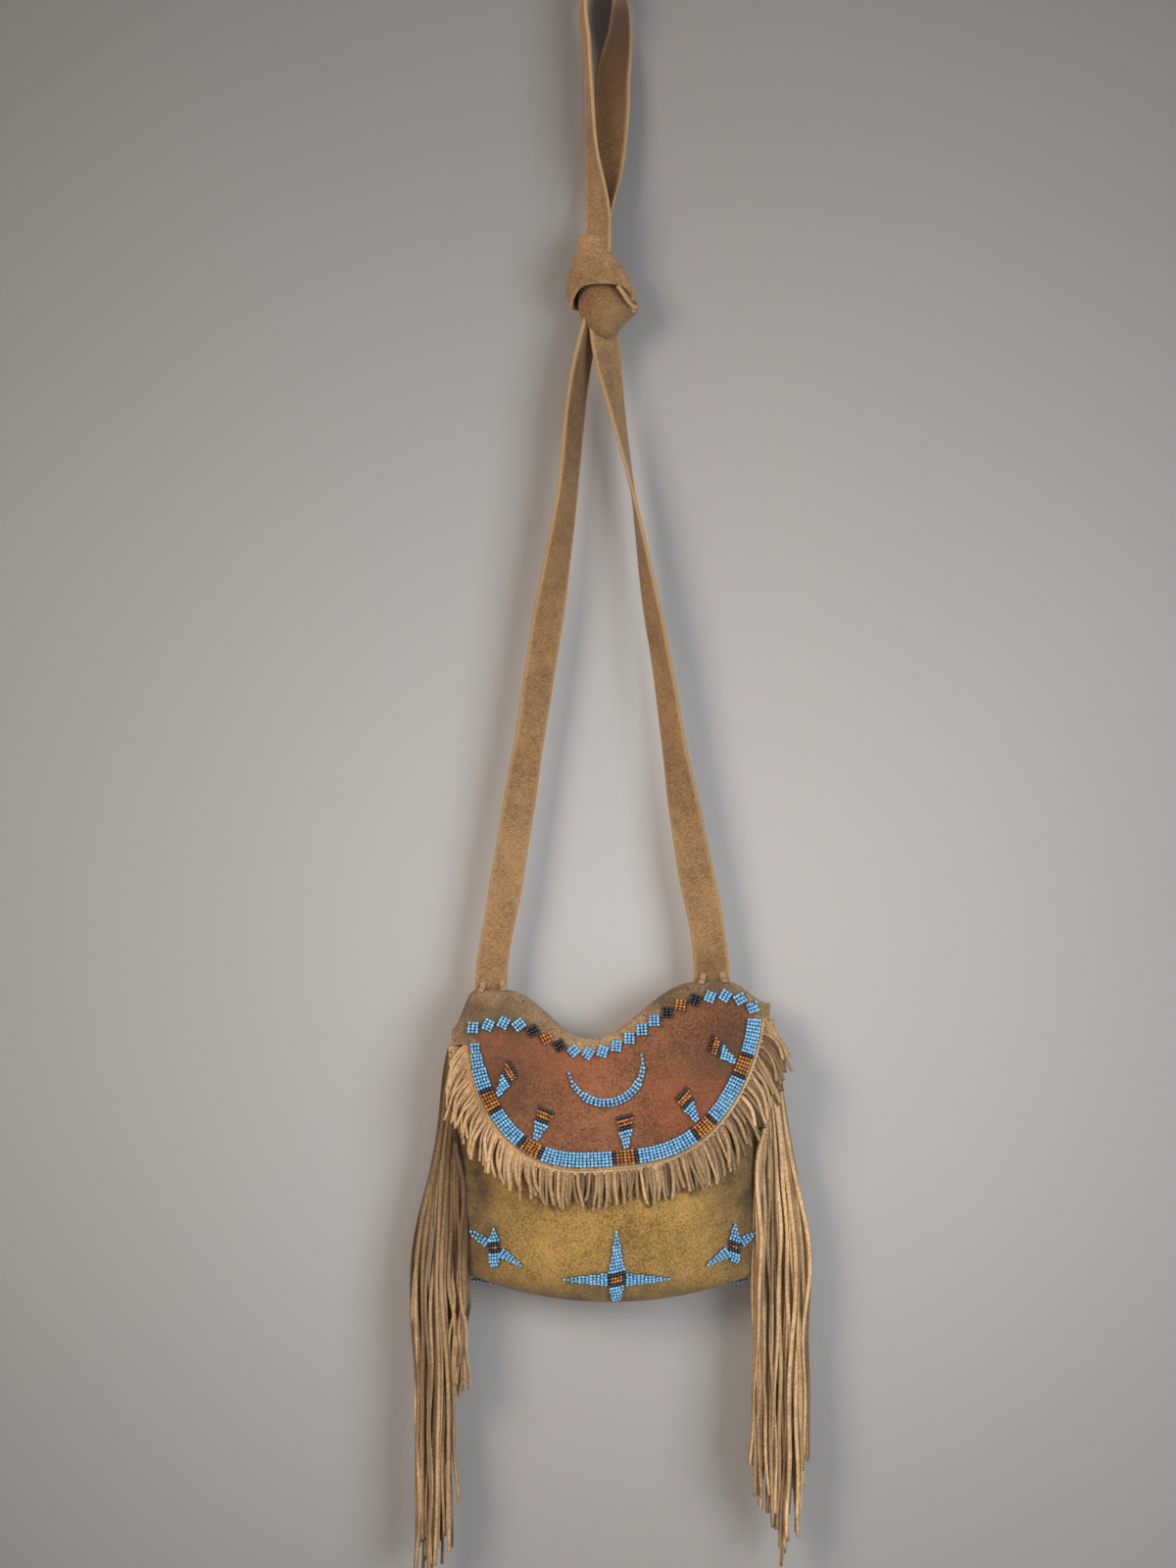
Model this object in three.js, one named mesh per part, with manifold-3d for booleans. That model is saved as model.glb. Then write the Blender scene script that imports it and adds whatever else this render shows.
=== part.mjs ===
// Beaded shoulder bag: a soft hide pouch with a folded-over flap, cut fringes, lane-stitched
// beadwork and a knotted shoulder strap, as it hangs from its strap.
// Millimetres and degrees. +Z is up, +X is to the right and the front faces -Y.
// The origin is the inside top of the strap's hanging loop.

import * as THREE from 'three';
import { mergeVertices } from 'three/addons/utils/BufferGeometryUtils.js';
import Module from 'manifold-3d';

const wasm = await Module();
wasm.setup();

// Hide and clearances
const HIDE = 1.6; // thickness of the pouch's hide
const FRINGE_HIDE = 1.4; // thickness of the fringe strips
const SEAT_GAP = 0.3; // between pieces that are sewn together
const BEAD_GAP = 0.6; // between the hide and the beadwork sewn on it
const FLAP_SLACK = 0.8; // air between the flap's fringe strip and the front panel

// Pouch
const BAG_X = 6; // middle of the bag, right of the hanging loop
const BACK_Y = 4; // middle of the back's hide, behind the hanging loop
const STRAP_DROP = 613; // from the loop's inside top down to the right hump
const BAG_HEIGHT = 194.5; // from the right hump down to the lowest point of the belly
const TOP_HALF_WIDTH = 97;
const BOTTOM_HALF_WIDTH = 88;
const BOTTOM_RISE = 16; // rise of the bottom edge towards each side
const BELLY = 26; // how far the front bulges past the seams
const BELLY_LEVEL = 0.62; // share of the height at which the belly is fullest
const BELLY_TUCK = 0.3; // share of the belly's depth at which it hangs lowest
const MOUTH_DROP = 22; // from the fold's axis down to the mouth's edge
const SWELL_POWER = 1.2; // how late the bulge starts below the fold
const POUCH_EASE = { power: 2.4, root: 0.75 }; // how the front's bulge eases off towards the seams

// Fold line, each drop measured below the right hump
const LEFT_HUMP_DROP = 5;
const DIP_DROP = 35;
const DIP_PLACE = -0.134; // share of the top's half width
const LEFT_CORNER_DROP = 29;
const RIGHT_CORNER_DROP = 13;

// Flap
const FLAP_DROP = 81; // from the corners' level down to the flap's lowest edge
const FLAP_CORNER = 4; // length of the flap left at each corner
const FLAP_FLARE = 0.55; // how much of the bulge is gone at the flap's right side
const FLAP_EASE_LEFT = 5; // how late the bulge eases off on the left
const FLAP_EASE_RIGHT = 2.5;
// The apron's sides: share of the half width left free beside it, and the roundness of its edge
const APRON_LEFT = { inset: 0.1, power: 2.8, root: 0.62 };
const APRON_RIGHT = { inset: 0.045, power: 3, root: 0.68 };
const ROLL_TOP = 0.98; // share of the roll's radius up to which it carries beadwork

// Beads: a column is one stitch of beads strung across its lane
const BEAD_PITCH = 2.25; // from column to column
const BEAD_LENGTH = 1.75; // one bead along its column
const BEAD_HEIGHT = 2;
const GROOVE_HEIGHT = 1.1; // height of the beadwork between two columns

// Border lane
const LANE_BEADS = 5;
const LANE_MARGIN = 0.9; // bare hide between the lane and the flap's edge
const BLOCK_COLUMNS = 7;
const BLOCK_PLACES = [0.139, 0.288, 0.517, 0.708, 0.884]; // shares of the lane's length

// Wedges, which point inward from the blocks
const WEDGE_LEANS = [-28, -20, 2, 29, 52];
const WEDGE_SKEWS = [-30, 0, 0, 18, 22]; // turn of each wedge's columns from square to it
const WEDGE_BEADS = [2, 3, 3, 4, 5];
const HEAD_BEADS = [6, 6, 6, 6];
const WEDGE_GAP = 1; // bare hide between the lane and a wedge's tip

// Diamonds under the fold
const DIAMONDS = 21;
const DIAMOND_COLUMNS = 3;
const DIAMOND_SPAN = [-0.89, 0.93]; // shares of the top's half width
// Their drop below the crest of the fold, at shares of the top's half width
const DIAMOND_DROPS = [[-0.89, 22.5], [-0.6, 19.7], [-0.13, 9], [0.4, 12.8], [0.7, 8.7], [0.9, 7.6]];
const BLACK_DIAMONDS = [4, 6]; // counted from either end
const AMBER_DIAMOND = 5;

// Crescent
const CRESCENT_RADIUS = 23.4;
const CRESCENT_PLACE = -0.035; // share of the top's half width
const CRESCENT_DROP = 14.9; // its centre below the fold's dip
const CRESCENT_ARC = [193, 375];
const CRESCENT_COLUMNS = 28;
const CRESCENT_BEADS = 3.4; // at its widest

// Stars on the front panel: share of the bottom's half width, place up from the belly line, lean
// of the cross arms, and the beads in each column of the arms
const STARS = [
  {
    name: 'centre_star',
    across: 0.039,
    up: -46,
    lean: 0,
    top: [1, 1, 2, 2, 3, 3, 3, 4, 4, 5, 5, 6],
    box: [6, 6, 6, 6],
    bottom: [5, 5, 4, 4, 3],
    left: [4, 4, 4, 4, 3, 3, 3, 2, 2, 2, 1, 1],
    right: [4, 4, 4, 4, 3, 3, 3, 2, 2, 2, 1, 1],
  },
  {
    name: 'left_star',
    across: -0.795,
    up: -43,
    lean: -33,
    top: [1, 2, 3, 4],
    box: [4, 4, 4],
    bottom: [4, 4, 4, 3],
    left: [4, 3, 3, 2, 2, 1],
    right: [4, 4, 3, 3, 2, 2, 1],
  },
  {
    name: 'right_star',
    across: 0.847,
    up: -44,
    lean: 33,
    top: [1, 2, 3, 3, 4],
    box: [4, 4, 4],
    bottom: [4, 4, 3],
    left: [4, 4, 3, 3, 2, 2, 1],
    right: [4, 3, 3, 2, 1],
  },
];

const ARM_LAP = 1; // by which an arm reaches into its star's stem

// Beaded edge along the bottom seam
const EDGE_PITCH = 5.5;
const EDGE_WIDTH = 4;
const EDGE_SPAN = 0.95; // share of the bottom's half width

// Fringes
const THONG_SLIT = 0.8; // cut between two thongs at their roots
const THONG_TAPER = 0.2; // share of a thong's width lost at its tip

// Flap fringe
const FLAP_BAND = 3; // uncut strip outside the flap's edge
const FLAP_LAP = 5; // strip behind the flap's edge
const FLAP_THONGS = 48;
const FLAP_THONG_LENGTH = 19.5; // at the middle of the flap's edge
const FLAP_SIDE_LONGER = 0.35; // share by which thongs are longer at the flap's sides
const FLAP_THONG_UNEVEN = 0.12; // share of the length by which thongs differ
const FLAP_THONG_DROOP = [0.38, 0.62, 0.8]; // each third's turn from outward to straight down
const FLAP_THONG_WIDTH = 2.8;

// Side fringes
const SIDE_LAP = 5; // strip inside the seam
const SIDE_BAND = 2.5; // uncut strip outside the seam
const SIDE_STRIP_TOP = 6; // below the fold's axis at the corner
const SIDE_STRIP_HEIGHT = 82;
const SIDE_LAYERS = 3;
const SIDE_COLUMNS = 6;
const SIDE_THONG_WIDTH = 3.2;
const SIDE_FRINGE_BELOW = 140; // the thongs' tips below the pouch's lowest point
const SIDE_THONG_UNEVEN = 24; // how much hand-cut lengths differ
const SIDE_THONG_BEND = 0.6; // share of its length by which a thong hangs straight
const SIDE_COLUMN_PITCH = 4.9;
const SIDE_LAYER_PITCH = 3.4;

// Strap, loop and knot
const STRAP_WIDTH = 19;
const STRAP_THICKNESS = 2.6;
const STRAP_PLACES = [-0.753, 0.639]; // shares of the top's half width
const STRAP_TAIL = 24; // strap behind the back, below the crest
const STRAP_LEAD = 9; // where the strap turns down behind the fold, above the crest
const LOOP_LENGTH = 158; // from the loop's inside top down to the knot
const LOOP_HALF_WIDTH = 8;
const LOOP_WIDEN = 2; // the strip is cut wider where it makes the loop
const KNOT_HEIGHT = 62;
const KNOT_HALF_WIDTH = 20;
const KNOT_HALF_DEPTH = 13;
const KNOT_X = 1; // its middle, right of the hanging loop's
const KNOT_EXITS = [-7, 2]; // where the runs leave it, from the hanging loop's middle
const KNOT_INSET = 0.15; // share of the knot's height by which runs and loop reach into it
// The loop's way up and down: shares of its half width, places in depth, shares of its length
const LOOP_UP = [
  [-0.1, -4.6, 0.93],
  [-0.62, -4, 0.65],
  [-0.78, -2.8, 0.45],
  [-0.97, -1.6, 0.26],
  [-1.07, -0.4, 0.05],
];
const LOOP_DOWN = [
  [1.36, 0.6, 0.07],
  [1.46, 2, 0.25],
  [0.95, 3.4, 0.35],
  [0.86, 4, 0.5],
  [0.58, 4, 0.66],
  [0.08, 4, 0.84],
  [-0.1, 4, 0.94],
];
const LOOP_ENDS = [-0.2, 4]; // where both strands enter the knot: share of the half width, place in depth
// Angle of the strip's width from +Y, at shares of each length
const LOOP_TURNS = [
  [0, 48],
  [0.06, 42],
  [0.19, 16],
  [0.28, 9],
  [0.46, 6],
  [0.5, 0],
  [0.545, 24],
  [0.618, 34],
  [0.66, 72],
  [0.71, 86],
  [0.85, 100],
  [0.94, 138],
  [1, 140],
];
const LEFT_TURNS = [[0, 26], [0.1, 32], [0.3, 42], [0.5, 68], [0.75, 78], [0.9, 90]];
const RIGHT_TURNS = [[0, 62], [0.27, 0], [0.55, -36], [0.8, -74], [0.92, -90]];
// The knot: share of its height down from its top, shares of its half width and half depth, and
// share of its half width by which it leans aside
const KNOT_SECTIONS = [
  [0, 0.44, 0.36, -0.25],
  [0.14, 0.52, 0.62, -0.25],
  [0.36, 0.86, 0.9, -0.15],
  [0.56, 1.02, 1, -0.02],
  [0.62, 0.98, 0.98, 0.02],
  [0.58, 0.68, 0.72, 0.12],
  [0.65, 0.8, 0.84, 0.16],
  [0.78, 0.7, 0.92, 0.1],
  [0.92, 0.48, 0.74, 0.08],
  [1, 0.28, 0.42, 0.1],
];

// Lacing of the strap's ends
const LACE_RADIUS = 1.1;
const LACE_SPREAD = 5; // each leg from the strap's middle
const LACE_RISE = 4.4; // above the crest
const LACE_SLACK = 1; // between the lacing and the strap
const LACE_WRAP = [128, 109, 90]; // angles round the roll, from the front up to the crest

// How finely curves are cut into flat faces
const CREST_STEPS = [1, 4, 2, 5, 6, 2, 4, 1]; // hide grid along each length of the crest
const BACK_ROWS = 2;
const ROLL_STEPS = 5;
const FLAP_ROWS = 7;
const FRONT_COLUMNS = 14;
const UPPER_ROWS = 4;
const UNDER_ROWS = 6;
const EDGE_POINTS = 160;
const DIAMOND_POINTS = 120;
const FLAP_THONG_STEPS = 3;
const SIDE_THONG_STEPS = 6;
const RUN_STEPS = 18;
const LOOP_STEPS = 26;
const KNOT_SIDES = 12;
const LACE_STEPS = 14;
const LACE_SIDES = 3;
const SOLE_STRIDE = 6; // bead columns' stations between two points of the beadwork's underside
const NORMAL_STEP = 0.2; // reach of the differences that give a surface's normal
const WALK_DEGREES = 3; // stride along the front's lower curve
const PASSES = 4; // rounds of a search for a place on the front

// Finishes
const finish = (color, roughness) => new THREE.MeshStandardMaterial({ color, roughness, metalness: 0 });
const tanHide = finish(0xa98a66, 0.95);
const redHide = finish(0x8a4f38, 0.95);
const ochreHide = finish(0xa17c3c, 0.95);
const strapHide = finish(0x8a6c48, 0.95);
const laceHide = finish(0xc9b08c, 0.9);
const blueBeads = finish(0x6fb4e0, 0.25);
const blackBeads = finish(0x14161f, 0.2);
const amberBeads = finish(0xb06a1c, 0.2);

// Levels and stacks that follow from the sizes
const seamStack = HIDE + FRINGE_HIDE + 2 * SEAT_GAP; // back's middle to the front's, at a side seam
const closedStack = HIDE + SEAT_GAP; // the same at the bottom seam
const flapStack = HIDE + FRINGE_HIDE + 2 * SEAT_GAP + FLAP_SLACK; // front's middle to the flap's
const foldRadius = (seamStack + flapStack) / 2;
const topX = (s) => BAG_X + s * TOP_HALF_WIDTH; // place across the top at a share of its half width
const [strapLeftX, strapRightX] = STRAP_PLACES.map(topX);
const rightHumpZ = -STRAP_DROP;
const bottomZ = rightHumpZ - BAG_HEIGHT;
const laneHalf = (LANE_BEADS * BEAD_LENGTH) / 2;
const beadSeat = HIDE / 2 + BEAD_GAP; // underside of the beadwork above the hide's middle

const { clamp, degToRad, lerp } = THREE.MathUtils;
const smooth = (share) => (1 - Math.cos(Math.PI * clamp(share, 0, 1))) / 2;

// A repeatable unevenness between -1 and 1 for hand-cut pieces.
const uneven = (index) => Math.sin(index * 2.4 + 0.7) * Math.cos(index * 1.3);

// Shares from 0 to 1, and shares from -1 to 1 that crowd towards both ends.
const evenShares = (count) => Array.from({ length: count + 1 }, (_, index) => index / count);
const crowded = (count) => evenShares(count).map((share) => -Math.cos(Math.PI * share));

// Height through a list of [place, height] stations, with level tangents at each of them.
function throughStations(stations, place) {
  const last = stations.length - 1;
  if (place <= stations[0][0]) return stations[0][1];
  if (place >= stations[last][0]) return stations[last][1];
  const next = stations.findIndex(([at]) => at > place);
  const [from, low] = stations[next - 1];
  const [to, high] = stations[next];
  return lerp(low, high, smooth((place - from) / (to - from)));
}

// The fold's crest: the strap holds up a hump at each end, the hide sags between them.
const crestStations = [
  [topX(-1), rightHumpZ - LEFT_CORNER_DROP],
  [strapLeftX - STRAP_WIDTH / 2, rightHumpZ - LEFT_HUMP_DROP],
  [strapLeftX + STRAP_WIDTH / 2, rightHumpZ - LEFT_HUMP_DROP],
  [topX(DIP_PLACE), rightHumpZ - DIP_DROP],
  [strapRightX - STRAP_WIDTH / 2, rightHumpZ],
  [strapRightX + STRAP_WIDTH / 2, rightHumpZ],
  [topX(1), rightHumpZ - RIGHT_CORNER_DROP],
];
const crestZ = (x) => throughStations(crestStations, x);

// Shares of the half width at which the hide's grid follows the crest and the apron's sides, each
// length in steps.
const apronEnds = [APRON_LEFT.inset - 1, 1 - APRON_RIGHT.inset];
const crestEnds = crestStations.map(([x]) => (x - BAG_X) / TOP_HALF_WIDTH);
const gridEnds = [...crestEnds, ...apronEnds].sort((a, b) => a - b);
const gridShares = gridEnds.flatMap((from, index) => {
  if (index === CREST_STEPS.length) return [from];
  return evenShares(CREST_STEPS[index]).slice(0, -1).map((part) => lerp(from, gridEnds[index + 1], part));
});
const foldAxisZ = (x) => crestZ(x) - HIDE / 2 - foldRadius;

// Levels of the pouch at a share s of its half width, from -1 at the left seam to 1.
const axisZ = (s) => foldAxisZ(topX(s));
const lowZ = (s) => bottomZ + BOTTOM_RISE * s * s;
const bellyZ = (s) => lerp(axisZ(s), lowZ(s), BELLY_LEVEL);
const halfWidth = (s, z) =>
  lerp(TOP_HALF_WIDTH, BOTTOM_HALF_WIDTH, clamp((axisZ(s) - z) / (axisZ(s) - lowZ(s)), 0, 1));

// How the bulge grows down the pouch and eases off towards its sides.
const swell = (share) => Math.sin((Math.PI / 2) * clamp(share / BELLY_LEVEL, 0, 1)) ** SWELL_POWER;
const rounding = (share, { power, root }) => (1 - Math.min(Math.abs(share), 1) ** power) ** root;
const pouchEase = (s) => rounding(s, POUCH_EASE);
const leftEase = (s) => 1 - Math.min(Math.abs(s), 1) ** FLAP_EASE_LEFT;
const rightEase = (s) => 1 - FLAP_FLARE * Math.min(s, 1) ** FLAP_EASE_RIGHT;
const flapEase = (s) => (s < 0 ? leftEase(s) : rightEase(s));

// Depth of the flap's middle in front of the back's middle: over the fold it is the roll.
function flapDepth(x, z) {
  const s = (x - BAG_X) / TOP_HALF_WIDTH;
  const above = z - foldAxisZ(x);
  if (above > 0) {
    const rise = Math.min(above / foldRadius, ROLL_TOP);
    return foldRadius * (1 + Math.sqrt(1 - rise * rise));
  }
  const share = -above / (foldAxisZ(x) - lowZ(clamp(s, -1, 1)));
  return 2 * foldRadius + flapEase(s) * BELLY * swell(share);
}

// Middle of the flap's hide at a place across and a height.
const flap = (x, z) => new THREE.Vector3(x, BACK_Y - flapDepth(x, z), z);

// The flap's lower edge: a rounded apron, set in at both ends of the roll.
function flapEdgeZ(s) {
  const corners = lerp(axisZ(-1), axisZ(1), (s + 1) / 2) - FLAP_CORNER;
  const side = s < 0 ? APRON_LEFT : APRON_RIGHT;
  return corners - FLAP_DROP * rounding(s / (1 - side.inset), side);
}

// Sizes of the front panel's lower curve, which runs under to the bottom seam.
function underCurve(s) {
  const deepest = seamStack + pouchEase(s) * BELLY;
  const lowest = BELLY_TUCK * deepest;
  const end = Math.acos(clamp((closedStack - lowest) / (deepest - lowest), -1, 1));
  return { lowest, reach: deepest - lowest, fall: bellyZ(s) - lowZ(s), end };
}

// The front panel's depth and height at an angle of its lower curve.
function underPoint(s, angle) {
  const { lowest, reach, fall } = underCurve(s);
  return { depth: lowest + reach * Math.cos(angle), z: bellyZ(s) - fall * Math.sin(angle) };
}
const seamZ = (s) => underPoint(s, underCurve(s).end).z;

// The front panel's depth and height at a height above the belly line.
function upperPoint(s, up) {
  const z = bellyZ(s) + up;
  const share = (axisZ(s) - z) / (axisZ(s) - lowZ(s));
  return { depth: seamStack + pouchEase(s) * BELLY * swell(share), z };
}

// The angle of the lower curve at a distance below the belly line, measured along the hide.
function underAngle(s, distance) {
  const { reach, fall } = underCurve(s);
  const step = degToRad(WALK_DEGREES);
  let angle = 0;
  let walked = 0;
  let stride = 0;
  while (walked < distance) {
    stride = step * Math.hypot(reach * Math.sin(angle), fall * Math.cos(angle));
    walked += stride;
    angle += step;
  }
  return stride > 0 ? angle - (step * (walked - distance)) / stride : 0;
}

// Middle of the front panel's hide at a place across and a distance up from the belly line.
function front(x, up) {
  let s = (x - BAG_X) / BOTTOM_HALF_WIDTH;
  let place = null;
  for (let pass = 0; pass < PASSES; pass += 1) {
    s = clamp(s, -1, 1);
    place = up >= 0 ? upperPoint(s, up) : underPoint(s, underAngle(s, -up));
    s = (x - BAG_X) / halfWidth(s, place.z);
  }
  return new THREE.Vector3(x, BACK_Y - place.depth, place.z);
}

// Distance up from the belly line at another place across, on the level of a given place.
function levelWith(x, up, otherX) {
  const level = front(x, up).z;
  let place = up;
  for (let pass = 0; pass < PASSES; pass += 1) {
    const { z } = front(otherX, place);
    const slope = (front(otherX, place + NORMAL_STEP).z - z) / NORMAL_STEP;
    place += (level - z) / slope;
  }
  return place;
}

// Lower rim of the pouch, as a surface that faces down.
const seamRim = (x, forward) =>
  new THREE.Vector3(x, BACK_Y - forward, seamZ(clamp((x - BAG_X) / BOTTOM_HALF_WIDTH, -1, 1)));

// A point lifted off a surface along its outward normal.
function lifted(surface, a, b, lift) {
  const alongA = surface(a + NORMAL_STEP, b).sub(surface(a - NORMAL_STEP, b));
  const alongB = surface(a, b + NORMAL_STEP).sub(surface(a, b - NORMAL_STEP));
  const normal = alongA.cross(alongB).normalize();
  return surface(a, b).addScaledVector(normal, lift);
}

// Closed geometry from its points and triangles, turned so that its faces point out.
function closedGeometry(points, triangles) {
  const volume = triangles.reduce((sum, [i, j, k]) => {
    const across = new THREE.Vector3().crossVectors(points[j], points[k]);
    return sum + points[i].dot(across);
  }, 0);
  const facing = volume < 0 ? triangles.map(([i, j, k]) => [i, k, j]) : triangles;
  const geometry = new THREE.BufferGeometry().setFromPoints(points);
  geometry.setIndex(facing.flat());
  return geometry;
}

// Solid between rings of the same number of points, closed by a flat cap at each end.
function loft(rings) {
  const count = rings[0].length;
  const triangles = [];
  for (let ring = 0; ring + 1 < rings.length; ring += 1) {
    for (let side = 0; side < count; side += 1) {
      const here = ring * count + side;
      const next = ring * count + ((side + 1) % count);
      triangles.push([here, next, next + count], [here, next + count, here + count]);
    }
  }
  const end = (rings.length - 1) * count;
  for (let side = 1; side + 1 < count; side += 1) {
    triangles.push([0, side + 1, side], [end, end + side, end + side + 1]);
  }
  return closedGeometry(rings.flat(), triangles);
}

// Sheet of a given thickness whose middle is a grid of points, rows by columns.
function sheet(middle, thickness) {
  const rows = middle.length;
  const columns = middle[0].length;
  const at = (row, column) => middle[clamp(row, 0, rows - 1)][clamp(column, 0, columns - 1)];
  const faces = [-0.5, 0.5].map((half) =>
    middle.map((line, row) =>
      line.map((point, column) => {
        const along = at(row, column + 1).clone().sub(at(row, column - 1));
        const down = at(row + 1, column).clone().sub(at(row - 1, column));
        return point.clone().addScaledVector(along.cross(down).normalize(), half * thickness);
      }),
    ),
  );
  const index = (face, row, column) => (face * rows + row) * columns + column;
  const triangles = [];
  const quad = (a, b, c, d) => triangles.push([a, b, c], [a, c, d]);
  for (let row = 0; row + 1 < rows; row += 1) {
    for (let column = 0; column + 1 < columns; column += 1) {
      const corners = [[row, column], [row, column + 1], [row + 1, column + 1], [row + 1, column]];
      quad(...corners.map(([r, c]) => index(1, r, c)));
      quad(...corners.reverse().map(([r, c]) => index(0, r, c)));
    }
    quad(index(0, row, 0), index(1, row, 0), index(1, row + 1, 0), index(0, row + 1, 0));
    const last = columns - 1;
    quad(index(1, row, last), index(0, row, last), index(0, row + 1, last), index(1, row + 1, last));
  }
  for (let column = 0; column + 1 < columns; column += 1) {
    const last = rows - 1;
    quad(index(1, 0, column), index(0, 0, column), index(0, 0, column + 1), index(1, 0, column + 1));
    quad(
      index(0, last, column),
      index(1, last, column),
      index(1, last, column + 1),
      index(0, last, column + 1),
    );
  }
  return closedGeometry(faces.flat(2), triangles);
}

// One body from several overlapping ones.
function joined(geometries) {
  const solids = geometries.map((geometry) => {
    const bare = new THREE.BufferGeometry();
    bare.setAttribute('position', geometry.getAttribute('position'));
    bare.setIndex(geometry.getIndex());
    const merged = mergeVertices(bare);
    const vertProperties = merged.getAttribute('position').array;
    const triVerts = new Uint32Array(merged.getIndex().array);
    return new wasm.Manifold(new wasm.Mesh({ numProp: 3, vertProperties, triVerts }));
  });
  const whole = solids.reduce((sum, solid) => sum.add(solid)).getMesh();
  const geometry = new THREE.BufferGeometry();
  geometry.setAttribute('position', new THREE.BufferAttribute(whole.vertProperties, 3));
  geometry.setIndex(new THREE.BufferAttribute(whole.triVerts, 1));
  return geometry;
}

// Frames of a flat strip along a curve: its middle, and its half width and half thickness as
// vectors, at shares t of its length. turn(t) is the angle of the width from +Y.
function stripFrames(curve, shares, thickness, width, turn) {
  return shares.map((t) => {
    const point = curve.getPointAt(t);
    const tangent = curve.getTangentAt(t);
    const level = new THREE.Vector3(0, 1, 0);
    level.addScaledVector(tangent, -level.dot(tangent)).normalize();
    const upright = new THREE.Vector3().crossVectors(tangent, level);
    const angle = degToRad(turn(t));
    const across = level.clone().multiplyScalar(Math.cos(angle));
    across.addScaledVector(upright, Math.sin(angle));
    const through = new THREE.Vector3().crossVectors(tangent, across);
    across.setLength(width(t) / 2);
    through.setLength(thickness / 2);
    return { point, tangent, across, through };
  });
}

// The four corners of a strip's section, in order round it.
const sectionCorners = ({ point, across, through }) =>
  [[-1, 1], [1, 1], [1, -1], [-1, -1]].map(([w, h]) =>
    point.clone().addScaledVector(across, w).addScaledVector(through, h),
  );

// Flat strip along a curve.
const ribbon = (curve, steps, thickness, width, turn) =>
  loft(stripFrames(curve, evenShares(steps), thickness, width, turn).map(sectionCorners));

// Fringe: one strip cut into thongs. Each thong has the middles of its root, two on the band's
// inner rim and two on its outer rim, and the route that it hangs along.
function comb(thongs, thickness, width, steps) {
  const points = [];
  const triangles = [];
  const quad = (a, b, c, d) => triangles.push([a, b, c], [a, c, d]);
  const put = (point) => points.push(point) - 1;
  const stations = thongs.flatMap(({ inner, outer }) =>
    [0, 1].map((end) => {
      const along = outer[1].clone().sub(outer[0]);
      const out = outer[end].clone().sub(inner[end]);
      const half = along.cross(out).setLength(thickness / 2);
      if (half.y > 0) half.negate();
      const [innerFront, outerFront] = [inner[end], outer[end]].map((point) => put(point.clone().add(half)));
      const [innerBack, outerBack] = [inner[end], outer[end]].map((point) => put(point.clone().sub(half)));
      return { innerFront, outerFront, innerBack, outerBack };
    }),
  );
  stations.slice(1).forEach((next, index) => {
    const here = stations[index];
    quad(here.innerFront, here.outerFront, next.outerFront, next.innerFront);
    quad(here.innerBack, next.innerBack, next.outerBack, here.outerBack);
    quad(here.innerFront, next.innerFront, next.innerBack, here.innerBack);
    const slit = index % 2 === 1;
    if (slit) quad(here.outerFront, here.outerBack, next.outerBack, next.outerFront);
  });
  const first = stations[0];
  const last = stations.at(-1);
  quad(first.innerFront, first.innerBack, first.outerBack, first.outerFront);
  quad(last.innerFront, last.outerFront, last.outerBack, last.innerBack);
  const isRightHanded = (a, b, c) => a.clone().cross(b).dot(c) > 0;
  thongs.forEach(({ inner, outer, route }, index) => {
    const [from, to] = stations.slice(2 * index, 2 * index + 2);
    const along = outer[1].clone().sub(outer[0]);
    const front = points[from.outerFront].clone().sub(points[from.outerBack]);
    const rootHand = isRightHanded(along, front, outer[0].clone().sub(inner[0]));
    let ring = [from.outerFront, to.outerFront, to.outerBack, from.outerBack];
    const curve = new THREE.CatmullRomCurve3(route);
    const narrowing = (t) => width * (1 - THONG_TAPER * t);
    const shares = evenShares(steps).slice(1).map((share) => share * share);
    stripFrames(curve, shares, thickness, narrowing, () => 90).forEach((frame) => {
      if (frame.through.y > 0) frame.through.negate();
      if (isRightHanded(frame.across, frame.through, frame.tangent) !== rootHand) frame.across.negate();
      const next = sectionCorners(frame).map(put);
      ring.forEach((corner, side) => {
        const beside = (side + 1) % ring.length;
        quad(ring[beside], corner, next[side], next[beside]);
      });
      ring = next;
    });
    quad(...ring.reverse());
  });
  return closedGeometry(points, triangles);
}

// A line on a surface, measured along the surface.
class SurfaceLine {
  constructor(surface, places) {
    this.places = places;
    this.lengths = [0];
    for (let i = 1; i < places.length; i += 1) {
      const gap = surface(...places[i]).distanceTo(surface(...places[i - 1]));
      this.lengths.push(this.lengths[i - 1] + gap);
    }
    this.length = this.lengths.at(-1);
  }

  // The place and the direction at a distance along the line.
  at(distance) {
    const wanted = clamp(distance, 0, this.length);
    const next = Math.max(this.lengths.findIndex((length) => length >= wanted), 1);
    const [fromA, fromB] = this.places[next - 1];
    const [toA, toB] = this.places[next];
    const gap = this.lengths[next] - this.lengths[next - 1];
    const share = (wanted - this.lengths[next - 1]) / gap;
    const size = Math.hypot(toA - fromA, toB - fromB);
    return {
      a: lerp(fromA, toA, share),
      b: lerp(fromB, toB, share),
      direction: [(toA - fromA) / size, (toB - fromB) / size],
    };
  }
}

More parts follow.
